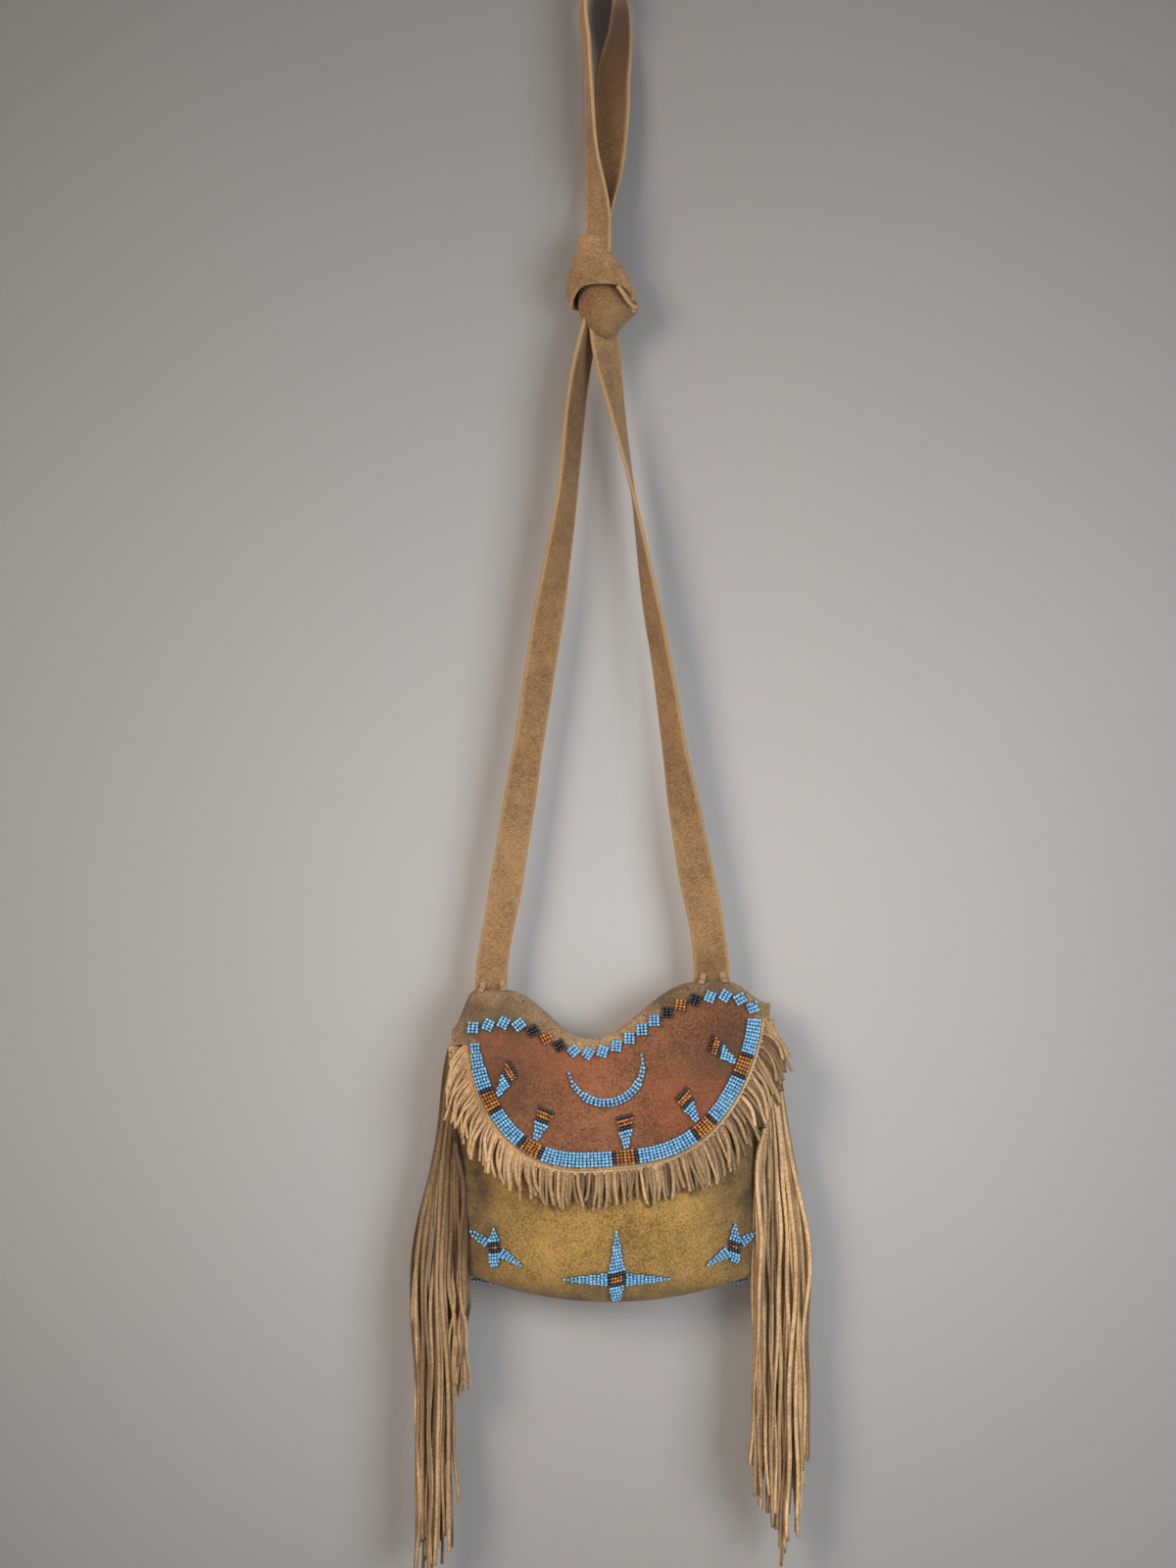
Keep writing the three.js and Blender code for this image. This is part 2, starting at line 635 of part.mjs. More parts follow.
// Beadwork: a strip of bead columns on a surface, a rounded ridge for each column.
// Each column has its place, the strip's direction there and its half length across.
function beadStrip(surface, columns, pitch, seat = beadSeat) {
  const stations = [];
  const station = (column, along, half, height) => {
    const [da, db] = column.direction;
    stations.push({ a: column.a + da * along, b: column.b + db * along, da, db, half, height });
  };
  const edge = pitch / 2 - SEAT_GAP;
  const last = columns.length - 1;
  station(columns[0], -edge, columns[0].half, GROOVE_HEIGHT);
  columns.forEach((column, index) => {
    station(column, 0, column.half, BEAD_HEIGHT);
    if (index < last) {
      const following = columns[index + 1];
      const half = Math.min(column.half, following.half);
      const middle = {
        a: (column.a + following.a) / 2,
        b: (column.b + following.b) / 2,
        direction: column.direction,
      };
      station(middle, 0, half, GROOVE_HEIGHT);
    }
  });
  station(columns[last], edge, columns[last].half, GROOVE_HEIGHT);

  const points = [];
  const side = (place, sign, lift) => {
    const a = place.a - sign * place.db * place.half;
    const b = place.b + sign * place.da * place.half;
    points.push(lifted(surface, a, b, lift));
    return points.length - 1;
  };
  const left = stations.map((place) => side(place, 1, seat + place.height));
  const right = stations.map((place) => side(place, -1, seat + place.height));
  const soles = stations.map((_, index) => index).filter((index) => index % SOLE_STRIDE === 0);
  if (soles.at(-1) !== stations.length - 1) soles.push(stations.length - 1);
  const soleLeft = soles.map((index) => side(stations[index], 1, seat));
  const soleRight = soles.map((index) => side(stations[index], -1, seat));

  const triangles = [];
  const quad = (a, b, c, d) => triangles.push([a, b, c], [a, c, d]);
  for (let i = 0; i + 1 < stations.length; i += 1) {
    quad(right[i], right[i + 1], left[i + 1], left[i]);
  }
  for (let i = 0; i + 1 < soles.length; i += 1) {
    quad(soleRight[i], soleLeft[i], soleLeft[i + 1], soleRight[i + 1]);
    const middle = Math.floor((soles[i] + soles[i + 1]) / 2);
    for (let j = soles[i]; j < soles[i + 1]; j += 1) {
      const foot = j < middle ? i : i + 1;
      triangles.push([soleLeft[foot], left[j], left[j + 1]]);
      triangles.push([soleRight[foot], right[j + 1], right[j]]);
    }
    triangles.push([soleLeft[i], left[middle], soleLeft[i + 1]]);
    triangles.push([soleRight[i], soleRight[i + 1], right[middle]]);
  }
  quad(right[0], left[0], soleLeft[0], soleRight[0]);
  quad(left.at(-1), right.at(-1), soleRight.at(-1), soleLeft.at(-1));
  return closedGeometry(points, triangles);
}

// Bead columns one after another from a place, in a direction, with a count of beads each.
function columnsFrom(a, b, direction, beads, start = 0) {
  return beads.map((count, index) => {
    const along = start + (index + 0.5) * BEAD_PITCH;
    return {
      a: a + direction[0] * along,
      b: b + direction[1] * along,
      direction,
      half: (count * BEAD_LENGTH) / 2,
    };
  });
}

// Back, fold and flap in one hide: each column of the grid runs up the back, over the roll and
// down the flap.
function backAndFlap() {
  const profiles = gridShares.map((s) => {
    const x = topX(s);
    const axis = axisZ(s);
    const back = evenShares(BACK_ROWS).map((share) => {
      const z = lerp(seamZ(s), axis, share);
      return new THREE.Vector3(BAG_X + s * halfWidth(s, z), BACK_Y, z);
    });
    const roll = evenShares(ROLL_STEPS).slice(1).map((share) => {
      const angle = Math.PI * share;
      const y = BACK_Y - foldRadius * (1 - Math.cos(angle));
      return new THREE.Vector3(x, y, axis + foldRadius * Math.sin(angle));
    });
    const hang = evenShares(FLAP_ROWS).slice(1).map((share) => flap(x, lerp(axis, flapEdgeZ(s), share)));
    return [...back, ...roll, ...hang];
  });
  return sheet(profiles, HIDE);
}

// Front panel: from the mouth's edge down over the belly and under to the bottom seam.
function frontPanel() {
  const profiles = crowded(FRONT_COLUMNS).map((s) => {
    const mouth = axisZ(s) - MOUTH_DROP - bellyZ(s);
    const upper = evenShares(UPPER_ROWS).map((share) => upperPoint(s, lerp(mouth, 0, share)));
    const { end } = underCurve(s);
    const under = evenShares(UNDER_ROWS).slice(1).map((share) => underPoint(s, end * share));
    return [...upper, ...under].map(
      ({ depth, z }) => new THREE.Vector3(BAG_X + s * halfWidth(s, z), BACK_Y - depth, z),
    );
  });
  return sheet(profiles, HIDE);
}

// The apron's edge, offset inward by a distance in the front view.
function flapEdgeLine(inward) {
  const reach = (share) => Math.abs(share) * apronEnds[share < 0 ? 0 : 1];
  const shares = crowded(EDGE_POINTS).slice(1, -1).map(reach);
  const edge = shares.map((s) => [topX(s), flapEdgeZ(s)]);
  const places = edge.map(([x, z], index) => {
    const [fromX, fromZ] = edge[Math.max(index - 1, 0)];
    const [toX, toZ] = edge[Math.min(index + 1, edge.length - 1)];
    const size = Math.hypot(toX - fromX, toZ - fromZ);
    return [x - (inward * (toZ - fromZ)) / size, z + (inward * (toX - fromX)) / size];
  });
  return new SurfaceLine(flap, places);
}

// Short fringe: a strip behind the flap's edge, cut into thongs that hang from it.
function flapFringe() {
  const behind = -(HIDE / 2 + 2 * SEAT_GAP + FRINGE_HIDE / 2);
  const innerRim = flapEdgeLine(FLAP_LAP);
  const outerRim = flapEdgeLine(-FLAP_BAND);
  const slit = (THONG_SLIT / outerRim.length) * FLAP_THONGS;
  const rimPoint = (rim, share) => {
    const { a, b } = rim.at((share / FLAP_THONGS) * rim.length);
    return lifted(flap, a, b, behind);
  };
  const thongs = Array.from({ length: FLAP_THONGS }, (_, index) => {
    const sides = [index + slit / 2, index + 1 - slit / 2];
    const { a, b, direction } = outerRim.at(((index + 0.5) / FLAP_THONGS) * outerRim.length);
    const outward = [direction[1], -direction[0]];
    const longer = 1 + FLAP_SIDE_LONGER * Math.abs(outward[0]);
    const length = FLAP_THONG_LENGTH * longer * (1 + FLAP_THONG_UNEVEN * uneven(index));
    const places = [[a, b]];
    FLAP_THONG_DROOP.forEach((droop) => {
      const [fromA, fromB] = places.at(-1);
      const ahead = [outward[0] * (1 - droop), outward[1] * (1 - droop) - droop];
      const stride = length / FLAP_THONG_DROOP.length / Math.hypot(...ahead);
      places.push([fromA + ahead[0] * stride, fromB + ahead[1] * stride]);
    });
    const route = places.map((place) => lifted(flap, ...place, behind));
    return {
      inner: sides.map((side) => rimPoint(innerRim, side)),
      outer: sides.map((side) => rimPoint(outerRim, side)),
      route,
    };
  });
  return comb(thongs, FRINGE_HIDE, FLAP_THONG_WIDTH, FLAP_THONG_STEPS);
}

// Long fringe: a strip sewn in a side seam, cut into thongs that hang in layers. In each layer
// the highest thong hangs outermost. side is -1 on the left and 1 on the right.
function sideFringe(side) {
  const stripY = BACK_Y - HIDE / 2 - SEAT_GAP - FRINGE_HIDE / 2;
  const topZ = axisZ(side) - SIDE_STRIP_TOP;
  const endZ = topZ - SIDE_STRIP_HEIGHT;
  const rimPoint = (out, y, z) =>
    new THREE.Vector3(BAG_X + side * (halfWidth(side, z) + out), y, z);
  const count = SIDE_LAYERS * SIDE_COLUMNS;
  const spacing = SIDE_STRIP_HEIGHT / count;
  const thongs = Array.from({ length: count }, (_, index) => {
    const levels = [THONG_SLIT / 2, spacing - THONG_SLIT / 2].map((down) => topZ - index * spacing - down);
    const rootZ = topZ - (index + 0.5) * spacing;
    const layer = index % SIDE_LAYERS;
    const column = SIDE_COLUMNS - 1 - Math.floor(index / SIDE_LAYERS);
    const hangY = stripY + (SIDE_LAYERS - 1 - layer) * SIDE_LAYER_PITCH;
    const tipZ = bottomZ - SIDE_FRINGE_BELOW + SIDE_THONG_UNEVEN * uneven(index + side);
    const sway = uneven(index + count * (side + 1));
    const stepOut = SIDE_BAND + SIDE_THONG_WIDTH;
    const fanOut = stepOut + column * (SIDE_THONG_WIDTH + SEAT_GAP);
    const hangOut = SIDE_THONG_WIDTH + column * SIDE_COLUMN_PITCH;
    const route = [
      rimPoint(SIDE_BAND, stripY, rootZ),
      rimPoint(stepOut, hangY, rootZ - spacing),
      rimPoint(fanOut, hangY, Math.min(endZ, rootZ - 2 * spacing)),
      rimPoint(hangOut + sway, hangY, lerp(rootZ, tipZ, SIDE_THONG_BEND)),
      rimPoint(hangOut - sway, hangY, tipZ),
    ];
    return {
      inner: levels.map((z) => rimPoint(-SIDE_LAP, stripY, z)),
      outer: levels.map((z) => rimPoint(SIDE_BAND, stripY, z)),
      route,
    };
  });
  return comb(thongs, FRINGE_HIDE, SIDE_THONG_WIDTH, SIDE_THONG_STEPS);
}

// One run of the strap, from the knot down to its tail behind the fold.
function strapRun(strapX, knotX, turns) {
  const tailY = BACK_Y + HIDE / 2 + SEAT_GAP + STRAP_THICKNESS / 2;
  const crest = crestZ(strapX);
  const knotZ = -LOOP_LENGTH - (1 - KNOT_INSET) * KNOT_HEIGHT;
  const bendZ = crest + STRAP_LEAD;
  const route = [
    new THREE.Vector3(knotX, 0, knotZ),
    new THREE.Vector3((knotX + strapX) / 2, tailY / 2, (knotZ + bendZ) / 2),
    new THREE.Vector3(strapX, tailY, bendZ),
    new THREE.Vector3(strapX, tailY, crest - STRAP_TAIL),
  ];
  const curve = new THREE.CatmullRomCurve3(route, false, 'centripetal');
  return ribbon(curve, RUN_STEPS, STRAP_THICKNESS, () => STRAP_WIDTH, (t) => throughStations(turns, t));
}

// The hanging loop: up from the knot edge-on, over the top and down again, broad side to the front.
function hangingLoop() {
  const knotZ = -LOOP_LENGTH - KNOT_INSET * KNOT_HEIGHT;
  const [endShare, endDepth] = LOOP_ENDS;
  const endX = endShare * LOOP_HALF_WIDTH;
  const via = ([x, y, down]) => new THREE.Vector3(x * LOOP_HALF_WIDTH, y, -down * LOOP_LENGTH);
  const route = [
    new THREE.Vector3(endX, -endDepth, knotZ),
    ...LOOP_UP.map(via),
    new THREE.Vector3(0, 0, STRAP_THICKNESS / 2),
    ...LOOP_DOWN.map(via),
    new THREE.Vector3(endX, endDepth, knotZ),
  ];
  const curve = new THREE.CatmullRomCurve3(route, false, 'centripetal');
  const width = STRAP_WIDTH + LOOP_WIDEN;
  return ribbon(curve, LOOP_STEPS, STRAP_THICKNESS, () => width, (t) => throughStations(LOOP_TURNS, t));
}

// Overhand knot: a hood of strap pulled round over a bulb of strap, with a slit between them.
function knot() {
  const rings = KNOT_SECTIONS.map(([down, wide, deep, aside]) =>
    evenShares(KNOT_SIDES).slice(1).map((share) => {
      const angle = 2 * Math.PI * share;
      const x = KNOT_X + KNOT_HALF_WIDTH * (aside + wide * Math.cos(angle));
      const y = deep * KNOT_HALF_DEPTH * Math.sin(angle);
      return new THREE.Vector3(x, y, -LOOP_LENGTH - down * KNOT_HEIGHT);
    }),
  );
  return loft(rings);
}

// The whole strap is one strip: two runs, the knot and the loop.
function shoulderStrap() {
  const leftRun = strapRun(strapLeftX, KNOT_EXITS[0], LEFT_TURNS);
  const rightRun = strapRun(strapRightX, KNOT_EXITS[1], RIGHT_TURNS);
  return joined([leftRun, rightRun, hangingLoop(), knot()]);
}

// Thong that laces a strap end over the fold: up one leg, across the strap, down the other.
function strapLacing(strapX) {
  const axis = foldAxisZ(strapX);
  const rollY = BACK_Y - foldRadius;
  const radius = foldRadius + HIDE / 2 + SEAT_GAP + LACE_RADIUS;
  const strapY = BACK_Y + HIDE / 2 - LACE_RADIUS - LACE_SLACK;
  const onRoll = (x, degrees) => {
    const angle = degToRad(degrees);
    return new THREE.Vector3(x, rollY + radius * Math.cos(angle), axis + radius * Math.sin(angle));
  };
  const leg = (x) => [
    ...LACE_WRAP.map((degrees) => onRoll(x, degrees)),
    new THREE.Vector3(x, strapY, crestZ(strapX) + LACE_RISE),
  ];
  const left = leg(strapX - LACE_SPREAD);
  const right = leg(strapX + LACE_SPREAD);
  const curve = new THREE.CatmullRomCurve3([...left, ...right.reverse()], false, 'centripetal');
  const section = new THREE.Shape().absarc(0, 0, LACE_RADIUS, 0, 2 * Math.PI, false);
  const settings = { extrudePath: curve, steps: LACE_STEPS, curveSegments: LACE_SIDES };
  return new THREE.ExtrudeGeometry(section, settings);
}

// The bag
const bag = new THREE.Group();
function addPiece(name, geometry, material) {
  const bare = new THREE.BufferGeometry();
  bare.setAttribute('position', geometry.getAttribute('position'));
  bare.setIndex(geometry.getIndex());
  const piece = new THREE.Mesh(mergeVertices(bare), material);
  piece.geometry.computeVertexNormals();
  piece.name = name;
  bag.add(piece);
}

addPiece('back_and_flap', backAndFlap(), redHide);
addPiece('front_panel', frontPanel(), ochreHide);
addPiece('flap_fringe', flapFringe(), tanHide);
addPiece('left_side_fringe', sideFringe(-1), tanHide);
addPiece('right_side_fringe', sideFringe(1), tanHide);
addPiece('shoulder_strap', shoulderStrap(), strapHide);
addPiece('left_strap_lacing', strapLacing(strapLeftX), laceHide);
addPiece('right_strap_lacing', strapLacing(strapRightX), laceHide);

// Border lane, in blue lengths between amber blocks
const lane = flapEdgeLine(LANE_MARGIN + laneHalf);
const laneColumns = Array.from({ length: Math.floor(lane.length / BEAD_PITCH) }, (_, index) => {
  const place = lane.at((index + 0.5) * BEAD_PITCH);
  return { ...place, half: laneHalf };
});
const blockStarts = BLOCK_PLACES.map((share) => Math.round(share * laneColumns.length - BLOCK_COLUMNS / 2));
blockStarts.forEach((start, index) => {
  const columns = laneColumns.slice(start, start + BLOCK_COLUMNS);
  addPiece(`border_block_${index + 1}`, beadStrip(flap, columns, BEAD_PITCH), amberBeads);
});
[...blockStarts, laneColumns.length].forEach((end, index) => {
  const start = index === 0 ? 0 : blockStarts[index - 1] + BLOCK_COLUMNS;
  const columns = laneColumns.slice(start, end);
  addPiece(`border_lane_${index + 1}`, beadStrip(flap, columns, BEAD_PITCH), blueBeads);
});

// Wedges, each a blue wedge under an amber and black head
BLOCK_PLACES.forEach((share, index) => {
  const block = lane.at(share * lane.length);
  const inward = [-block.direction[1], block.direction[0]];
  const lean = degToRad(WEDGE_LEANS[index]);
  const direction = [-Math.sin(lean), Math.cos(lean)];
  const tip = [0, 1].map((axis) => [block.a, block.b][axis] + inward[axis] * (laneHalf + WEDGE_GAP));
  const square = lean + degToRad(WEDGE_SKEWS[index]);
  const skewed = (column) => ({ ...column, direction: [-Math.sin(square), Math.cos(square)] });
  const wedge = columnsFrom(...tip, direction, WEDGE_BEADS).map(skewed);
  const headStart = WEDGE_BEADS.length * BEAD_PITCH;
  const head = columnsFrom(...tip, direction, HEAD_BEADS, headStart).map(skewed);
  addPiece(`wedge_${index + 1}`, beadStrip(flap, wedge, BEAD_PITCH), blueBeads);
  addPiece(`wedge_head_${index + 1}`, beadStrip(flap, head, BEAD_PITCH), amberBeads);
});

// Diamonds, corner to corner under the fold: black, amber, black between runs of blue
const [diamondFrom, diamondTo] = DIAMOND_SPAN.map(topX);
const diamondLine = new SurfaceLine(
  flap,
  evenShares(DIAMOND_POINTS).map((share) => {
    const x = lerp(diamondFrom, diamondTo, share);
    return [x, crestZ(x) - throughStations(DIAMOND_DROPS, (x - BAG_X) / TOP_HALF_WIDTH)];
  }),
);
const diamondSpacing = diamondLine.length / DIAMONDS;
const diamondSide = (diamondSpacing - 2 * SEAT_GAP) / Math.SQRT2;
const diamondColour = (index) => {
  const fromEnd = Math.min(index, DIAMONDS - 1 - index);
  if (BLACK_DIAMONDS.includes(fromEnd)) return blackBeads;
  return fromEnd === AMBER_DIAMOND ? amberBeads : blueBeads;
};
for (let index = 0; index < DIAMONDS; index += 1) {
  const { a, b, direction } = diamondLine.at((index + 0.5) * diamondSpacing);
  const slant = Math.atan2(direction[1], direction[0]) + Math.PI / 4;
  const along = [Math.cos(slant), Math.sin(slant)];
  const pitch = diamondSide / DIAMOND_COLUMNS;
  const columns = Array.from({ length: DIAMOND_COLUMNS }, (_, column) => {
    const offset = (column - (DIAMOND_COLUMNS - 1) / 2) * pitch;
    return { a: a + along[0] * offset, b: b + along[1] * offset, direction: along, half: diamondSide / 2 };
  });
  const name = `diamond_${String(index + 1).padStart(2, '0')}`;
  addPiece(name, beadStrip(flap, columns, pitch), diamondColour(index));
}

// Crescent, widest at the middle of its arc
const crescentZ = rightHumpZ - DIP_DROP - CRESCENT_DROP;
const [crescentFrom, crescentTo] = CRESCENT_ARC.map(degToRad);
const crescentColumns = Array.from({ length: CRESCENT_COLUMNS }, (_, index) => {
  const share = (index + 0.5) / CRESCENT_COLUMNS;
  const angle = lerp(crescentFrom, crescentTo, share);
  const beads = 1 + (CRESCENT_BEADS - 1) * Math.sin(Math.PI * share);
  return {
    a: topX(CRESCENT_PLACE) + CRESCENT_RADIUS * Math.cos(angle),
    b: crescentZ + CRESCENT_RADIUS * Math.sin(angle),
    direction: [-Math.sin(angle), Math.cos(angle)],
    half: (beads * BEAD_LENGTH) / 2,
  };
});
const crescentPitch = (CRESCENT_RADIUS * (crescentTo - crescentFrom)) / CRESCENT_COLUMNS;
addPiece('crescent', beadStrip(flap, crescentColumns, crescentPitch), blueBeads);

// Stars: a stem of columns down the panel, and a cross arm sewn to each side of its box
STARS.forEach(({ name, across, up, lean, top, box, bottom, left, right }) => {
  const x = BAG_X + across * BOTTOM_HALF_WIDTH;
  const stem = [...top, ...box, ...bottom];
  const aboveCentre = (top.length + box.length / 2) * BEAD_PITCH;
  const stemStrip = beadStrip(front, columnsFrom(x, up + aboveCentre, [0, -1], stem), BEAD_PITCH);
  const armStrips = [-1, 1].map((side) => {
    const angle = degToRad(lean);
    const direction = [side * Math.cos(angle), side * Math.sin(angle)];
    const start = (box[0] * BEAD_LENGTH) / 2 / Math.cos(angle) - ARM_LAP;
    const columns = columnsFrom(x, up, direction, side < 0 ? left : right, start);
    const level = columns.map((column) => ({ ...column, b: levelWith(x, column.b, column.a) }));
    return beadStrip(front, level, BEAD_PITCH);
  });
  addPiece(name, joined([stemStrip, ...armStrips]), blueBeads);
});

// Beaded edge under the bottom seam
const edgeHalf = EDGE_SPAN * BOTTOM_HALF_WIDTH;
const edgeCount = Math.floor((2 * edgeHalf) / EDGE_PITCH);
const edgeColumns = Array.from({ length: edgeCount }, (_, index) => ({
  a: BAG_X + (index + 0.5 - edgeCount / 2) * EDGE_PITCH,
  b: -HIDE / 2,
  direction: [1, 0],
  half: EDGE_WIDTH / 2,
}));
addPiece('bottom_edge_beads', beadStrip(seamRim, edgeColumns, EDGE_PITCH), blueBeads);

export default bag;
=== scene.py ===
"""Beaded shoulder bag: soft hide, cut fringes, seed beads and a knotted strap, hanging at a wall.

Lengths are millimetres in the shape functions and metres in Blender. +Z is up, the beaded front
faces -Y, and the origin is the inside top of the strap's hanging loop.
"""
import logging
import math
from dataclasses import dataclass, field
from enum import Enum
from typing import Callable, Sequence

import bpy
import numpy as np
from numpy.typing import NDArray
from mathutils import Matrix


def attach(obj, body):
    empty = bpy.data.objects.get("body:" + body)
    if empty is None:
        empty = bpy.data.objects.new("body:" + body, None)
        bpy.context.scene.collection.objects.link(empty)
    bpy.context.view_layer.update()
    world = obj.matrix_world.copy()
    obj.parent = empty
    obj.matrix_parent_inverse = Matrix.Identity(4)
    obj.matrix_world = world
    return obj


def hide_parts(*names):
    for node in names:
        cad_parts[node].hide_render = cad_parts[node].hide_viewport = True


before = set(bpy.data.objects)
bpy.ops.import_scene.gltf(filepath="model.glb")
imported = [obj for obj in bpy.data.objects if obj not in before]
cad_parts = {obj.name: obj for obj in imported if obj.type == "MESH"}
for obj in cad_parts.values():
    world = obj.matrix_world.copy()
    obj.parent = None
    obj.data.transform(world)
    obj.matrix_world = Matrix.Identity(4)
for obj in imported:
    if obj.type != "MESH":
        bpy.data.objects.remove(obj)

Piece = bpy.types.Object
Material = bpy.types.Material
Array = NDArray[np.float64]
Faces = NDArray[np.int64]
Surface = Callable[[Array, Array], Array]
Colour = tuple[float, float, float, float]
Place = tuple[float, float, float]
Spot = tuple[float, float, float, float, float]
Station = tuple[float, float, float, float]
Wave = tuple[float, float, float, float]

LOG = logging.getLogger("bag")
MM = 0.001
TINY = 1e-12
SLOPE_STEP = 0.2
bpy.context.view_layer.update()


class Bead(Enum):
    """The three glass colours, with the letter that the patterns use."""

    BLUE = "u"
    BLACK = "k"
    AMBER = "a"


class Side(Enum):
    """A side of the bag, seen from the front."""

    LEFT = -1
    RIGHT = 1


# Plain numbers and arrays


def tone(red: float, green: float, blue: float) -> Colour:
    """Opaque linear colour of a display colour in parts of 255, by the sRGB curve."""
    display = np.array([red, green, blue]) / 255
    return (*np.where(display <= 0.04045, display / 12.92, ((display + 0.055) / 1.055) ** 2.4).tolist(), 1.0)


def unit(vectors: Array) -> Array:
    """Vectors brought to length one along the last axis."""
    return vectors / np.maximum(np.linalg.norm(vectors, axis=-1, keepdims=True), TINY)


def smooth(share: Array) -> Array:
    """Half a cosine wave from 0 to 1."""
    return (1 - np.cos(np.pi * np.clip(share, 0, 1))) / 2


def mix(low: Array | float, high: Array | float, share: Array | float) -> Array:
    """Straight blend between two values."""
    return low + (high - low) * share


def together(*parts: Array | float) -> Array:
    """Arrays side by side along a new last axis, each stretched to their common shape."""
    return np.stack(np.broadcast_arrays(*parts), axis=-1)


def through_stations(stations: Array, place: Array) -> Array:
    """Half-cosine blends between stations, level at each of them and beyond both ends.

    Args:
        stations: rows of place and height.
        place: places to read.

    Returns:
        The heights at the places.
    """
    at, height = stations[:, 0], stations[:, 1]
    low = np.clip(np.searchsorted(at, place, side="right") - 1, 0, len(at) - 2)
    share = (place - at[low]) / (at[low + 1] - at[low])
    return mix(height[low], height[low + 1], smooth(share))


def curve_through(stations: Array, place: Array) -> Array:
    """Cubic curve through stations, its slope at each taken from the two neighbours.

    Args:
        stations: rows of a place and the values there, or a stack of such tables.
        place: places to read, the same for each table.

    Returns:
        Values at the places, one row for each place.
    """
    marks, values = stations[..., 0], stations[..., 1:]
    at = marks if marks.ndim == 1 else marks[0]
    slope = np.gradient(values, at, axis=-2)
    low = np.clip(np.searchsorted(at, place, side="right") - 1, 0, len(at) - 2)
    gap = (at[low + 1] - at[low])[:, None]
    t = np.clip((place - at[low]) / (at[low + 1] - at[low]), 0, 1)[:, None]
    start, end = values[..., low, :], values[..., low + 1, :]
    lean_in, lean_out = slope[..., low, :] * gap, slope[..., low + 1, :] * gap
    return (
        (2 * t**3 - 3 * t**2 + 1) * start
        + (t**3 - 2 * t**2 + t) * lean_in
        + (3 * t**2 - 2 * t**3) * end
        + (t**3 - t**2) * lean_out
    )


def bump_at(a: Array, b: Array, spots: Sequence[Spot]) -> Array:
    """Sum of soft spots, each a bell curve of the distance from its centre.

    Args:
        a: first place.
        b: second place.
        spots: the two places of each centre, the spread along each, and the height.

    Returns:
        The summed heights.
    """
    table = np.array(spots)
    across = (a[..., None] - table[:, 0]) / table[:, 2]
    up = (b[..., None] - table[:, 1]) / table[:, 3]
    return np.sum(table[:, 4] * np.exp(-0.5 * (across**2 + up**2)), axis=-1)


# Meshes from arrays


@dataclass
class Body:
    """Points in millimetres, faces as arrays of equal-sided faces, and a value or more per point."""

    points: Array
    faces: list[Faces]
    values: dict[str, Array] = field(default_factory=dict)


def join_all(bodies: list[Body]) -> Body:
    """Joins bodies in order.

    Args:
        bodies: one or more.

    Returns:
        All of them in one. A value that one of them lacks is 0 there.
    """
    shifts = np.cumsum([0] + [len(body.points) for body in bodies])
    faces = [part + shift for body, shift in zip(bodies, shifts) for part in body.faces]
    values = {
        name: np.concatenate([body.values.get(name, np.zeros(len(body.points))) for body in bodies])
        for name in sorted({name for body in bodies for name in body.values})
    }
    return Body(np.concatenate([body.points for body in bodies]), faces, values)


def linked(name: str, data: bpy.types.ID) -> Piece:
    """A new object of the scene.

    Args:
        name: the object's name.
        data: its mesh, light or camera.

    Returns:
        The object, at the origin.
    """
    made = bpy.data.objects.new(name, data)
    bpy.context.scene.collection.objects.link(made)
    return made


def make_piece(
    name: str,
    body: Body,
    materials: list[Material],
    nodes: list[str],
    face_material: Array | None = None,
) -> Piece:
    """Puts a body into a new object that rides on the bag and stands for CAD nodes.

    Args:
        name: the object's name.
        body: its points, faces and values.
        materials: its material slots in order.
        nodes: the CAD nodes that it stands for.
        face_material: slot of each face, all the first one if left out.

    Returns:
        The new object.
    """
    mesh = bpy.data.meshes.new(name)
    loops = np.concatenate([part.ravel() for part in body.faces])
    sides = np.concatenate([np.full(len(part), part.shape[1]) for part in body.faces])
    mesh.vertices.add(len(body.points))
    mesh.vertices.foreach_set("co", (body.points * MM).ravel())
    mesh.loops.add(len(loops))
    mesh.loops.foreach_set("vertex_index", loops)
    mesh.polygons.add(len(sides))
    mesh.polygons.foreach_set("loop_start", np.cumsum(sides) - sides)
    for material in materials:
        mesh.materials.append(material)
    if face_material is not None:
        mesh.polygons.foreach_set("material_index", face_material.astype(np.int32))
    mesh.polygons.foreach_set("use_smooth", np.ones(len(sides), dtype=bool))
    for value_name, value in body.values.items():
        layer = mesh.attributes.new(value_name, "FLOAT", "POINT")
        layer.data.foreach_set("value", value.astype(np.float32))
    mesh.update(calc_edges=True)
    mesh.validate()
    piece = linked(name, mesh)
    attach(piece, "root")
    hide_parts(*nodes)
    LOG.info("%s: %d faces", name, len(sides))
    return piece


def grid_quads(rows: int, columns: int) -> Faces:
    """Faces of a grid of points, four corners each."""
    at = np.arange(rows * columns).reshape(rows, columns)
    return together(at[:-1, :-1], at[1:, :-1], at[1:, 1:], at[:-1, 1:]).reshape(-1, 4)


def ring_quads(at: Faces) -> Faces:
    """Faces between closed rings of points, given as a table of point numbers or a stack of tables."""
    ahead = np.roll(at, -1, axis=-1)
    return together(at[..., :-1, :], ahead[..., :-1, :], ahead[..., 1:, :], at[..., 1:, :]).reshape(-1, 4)


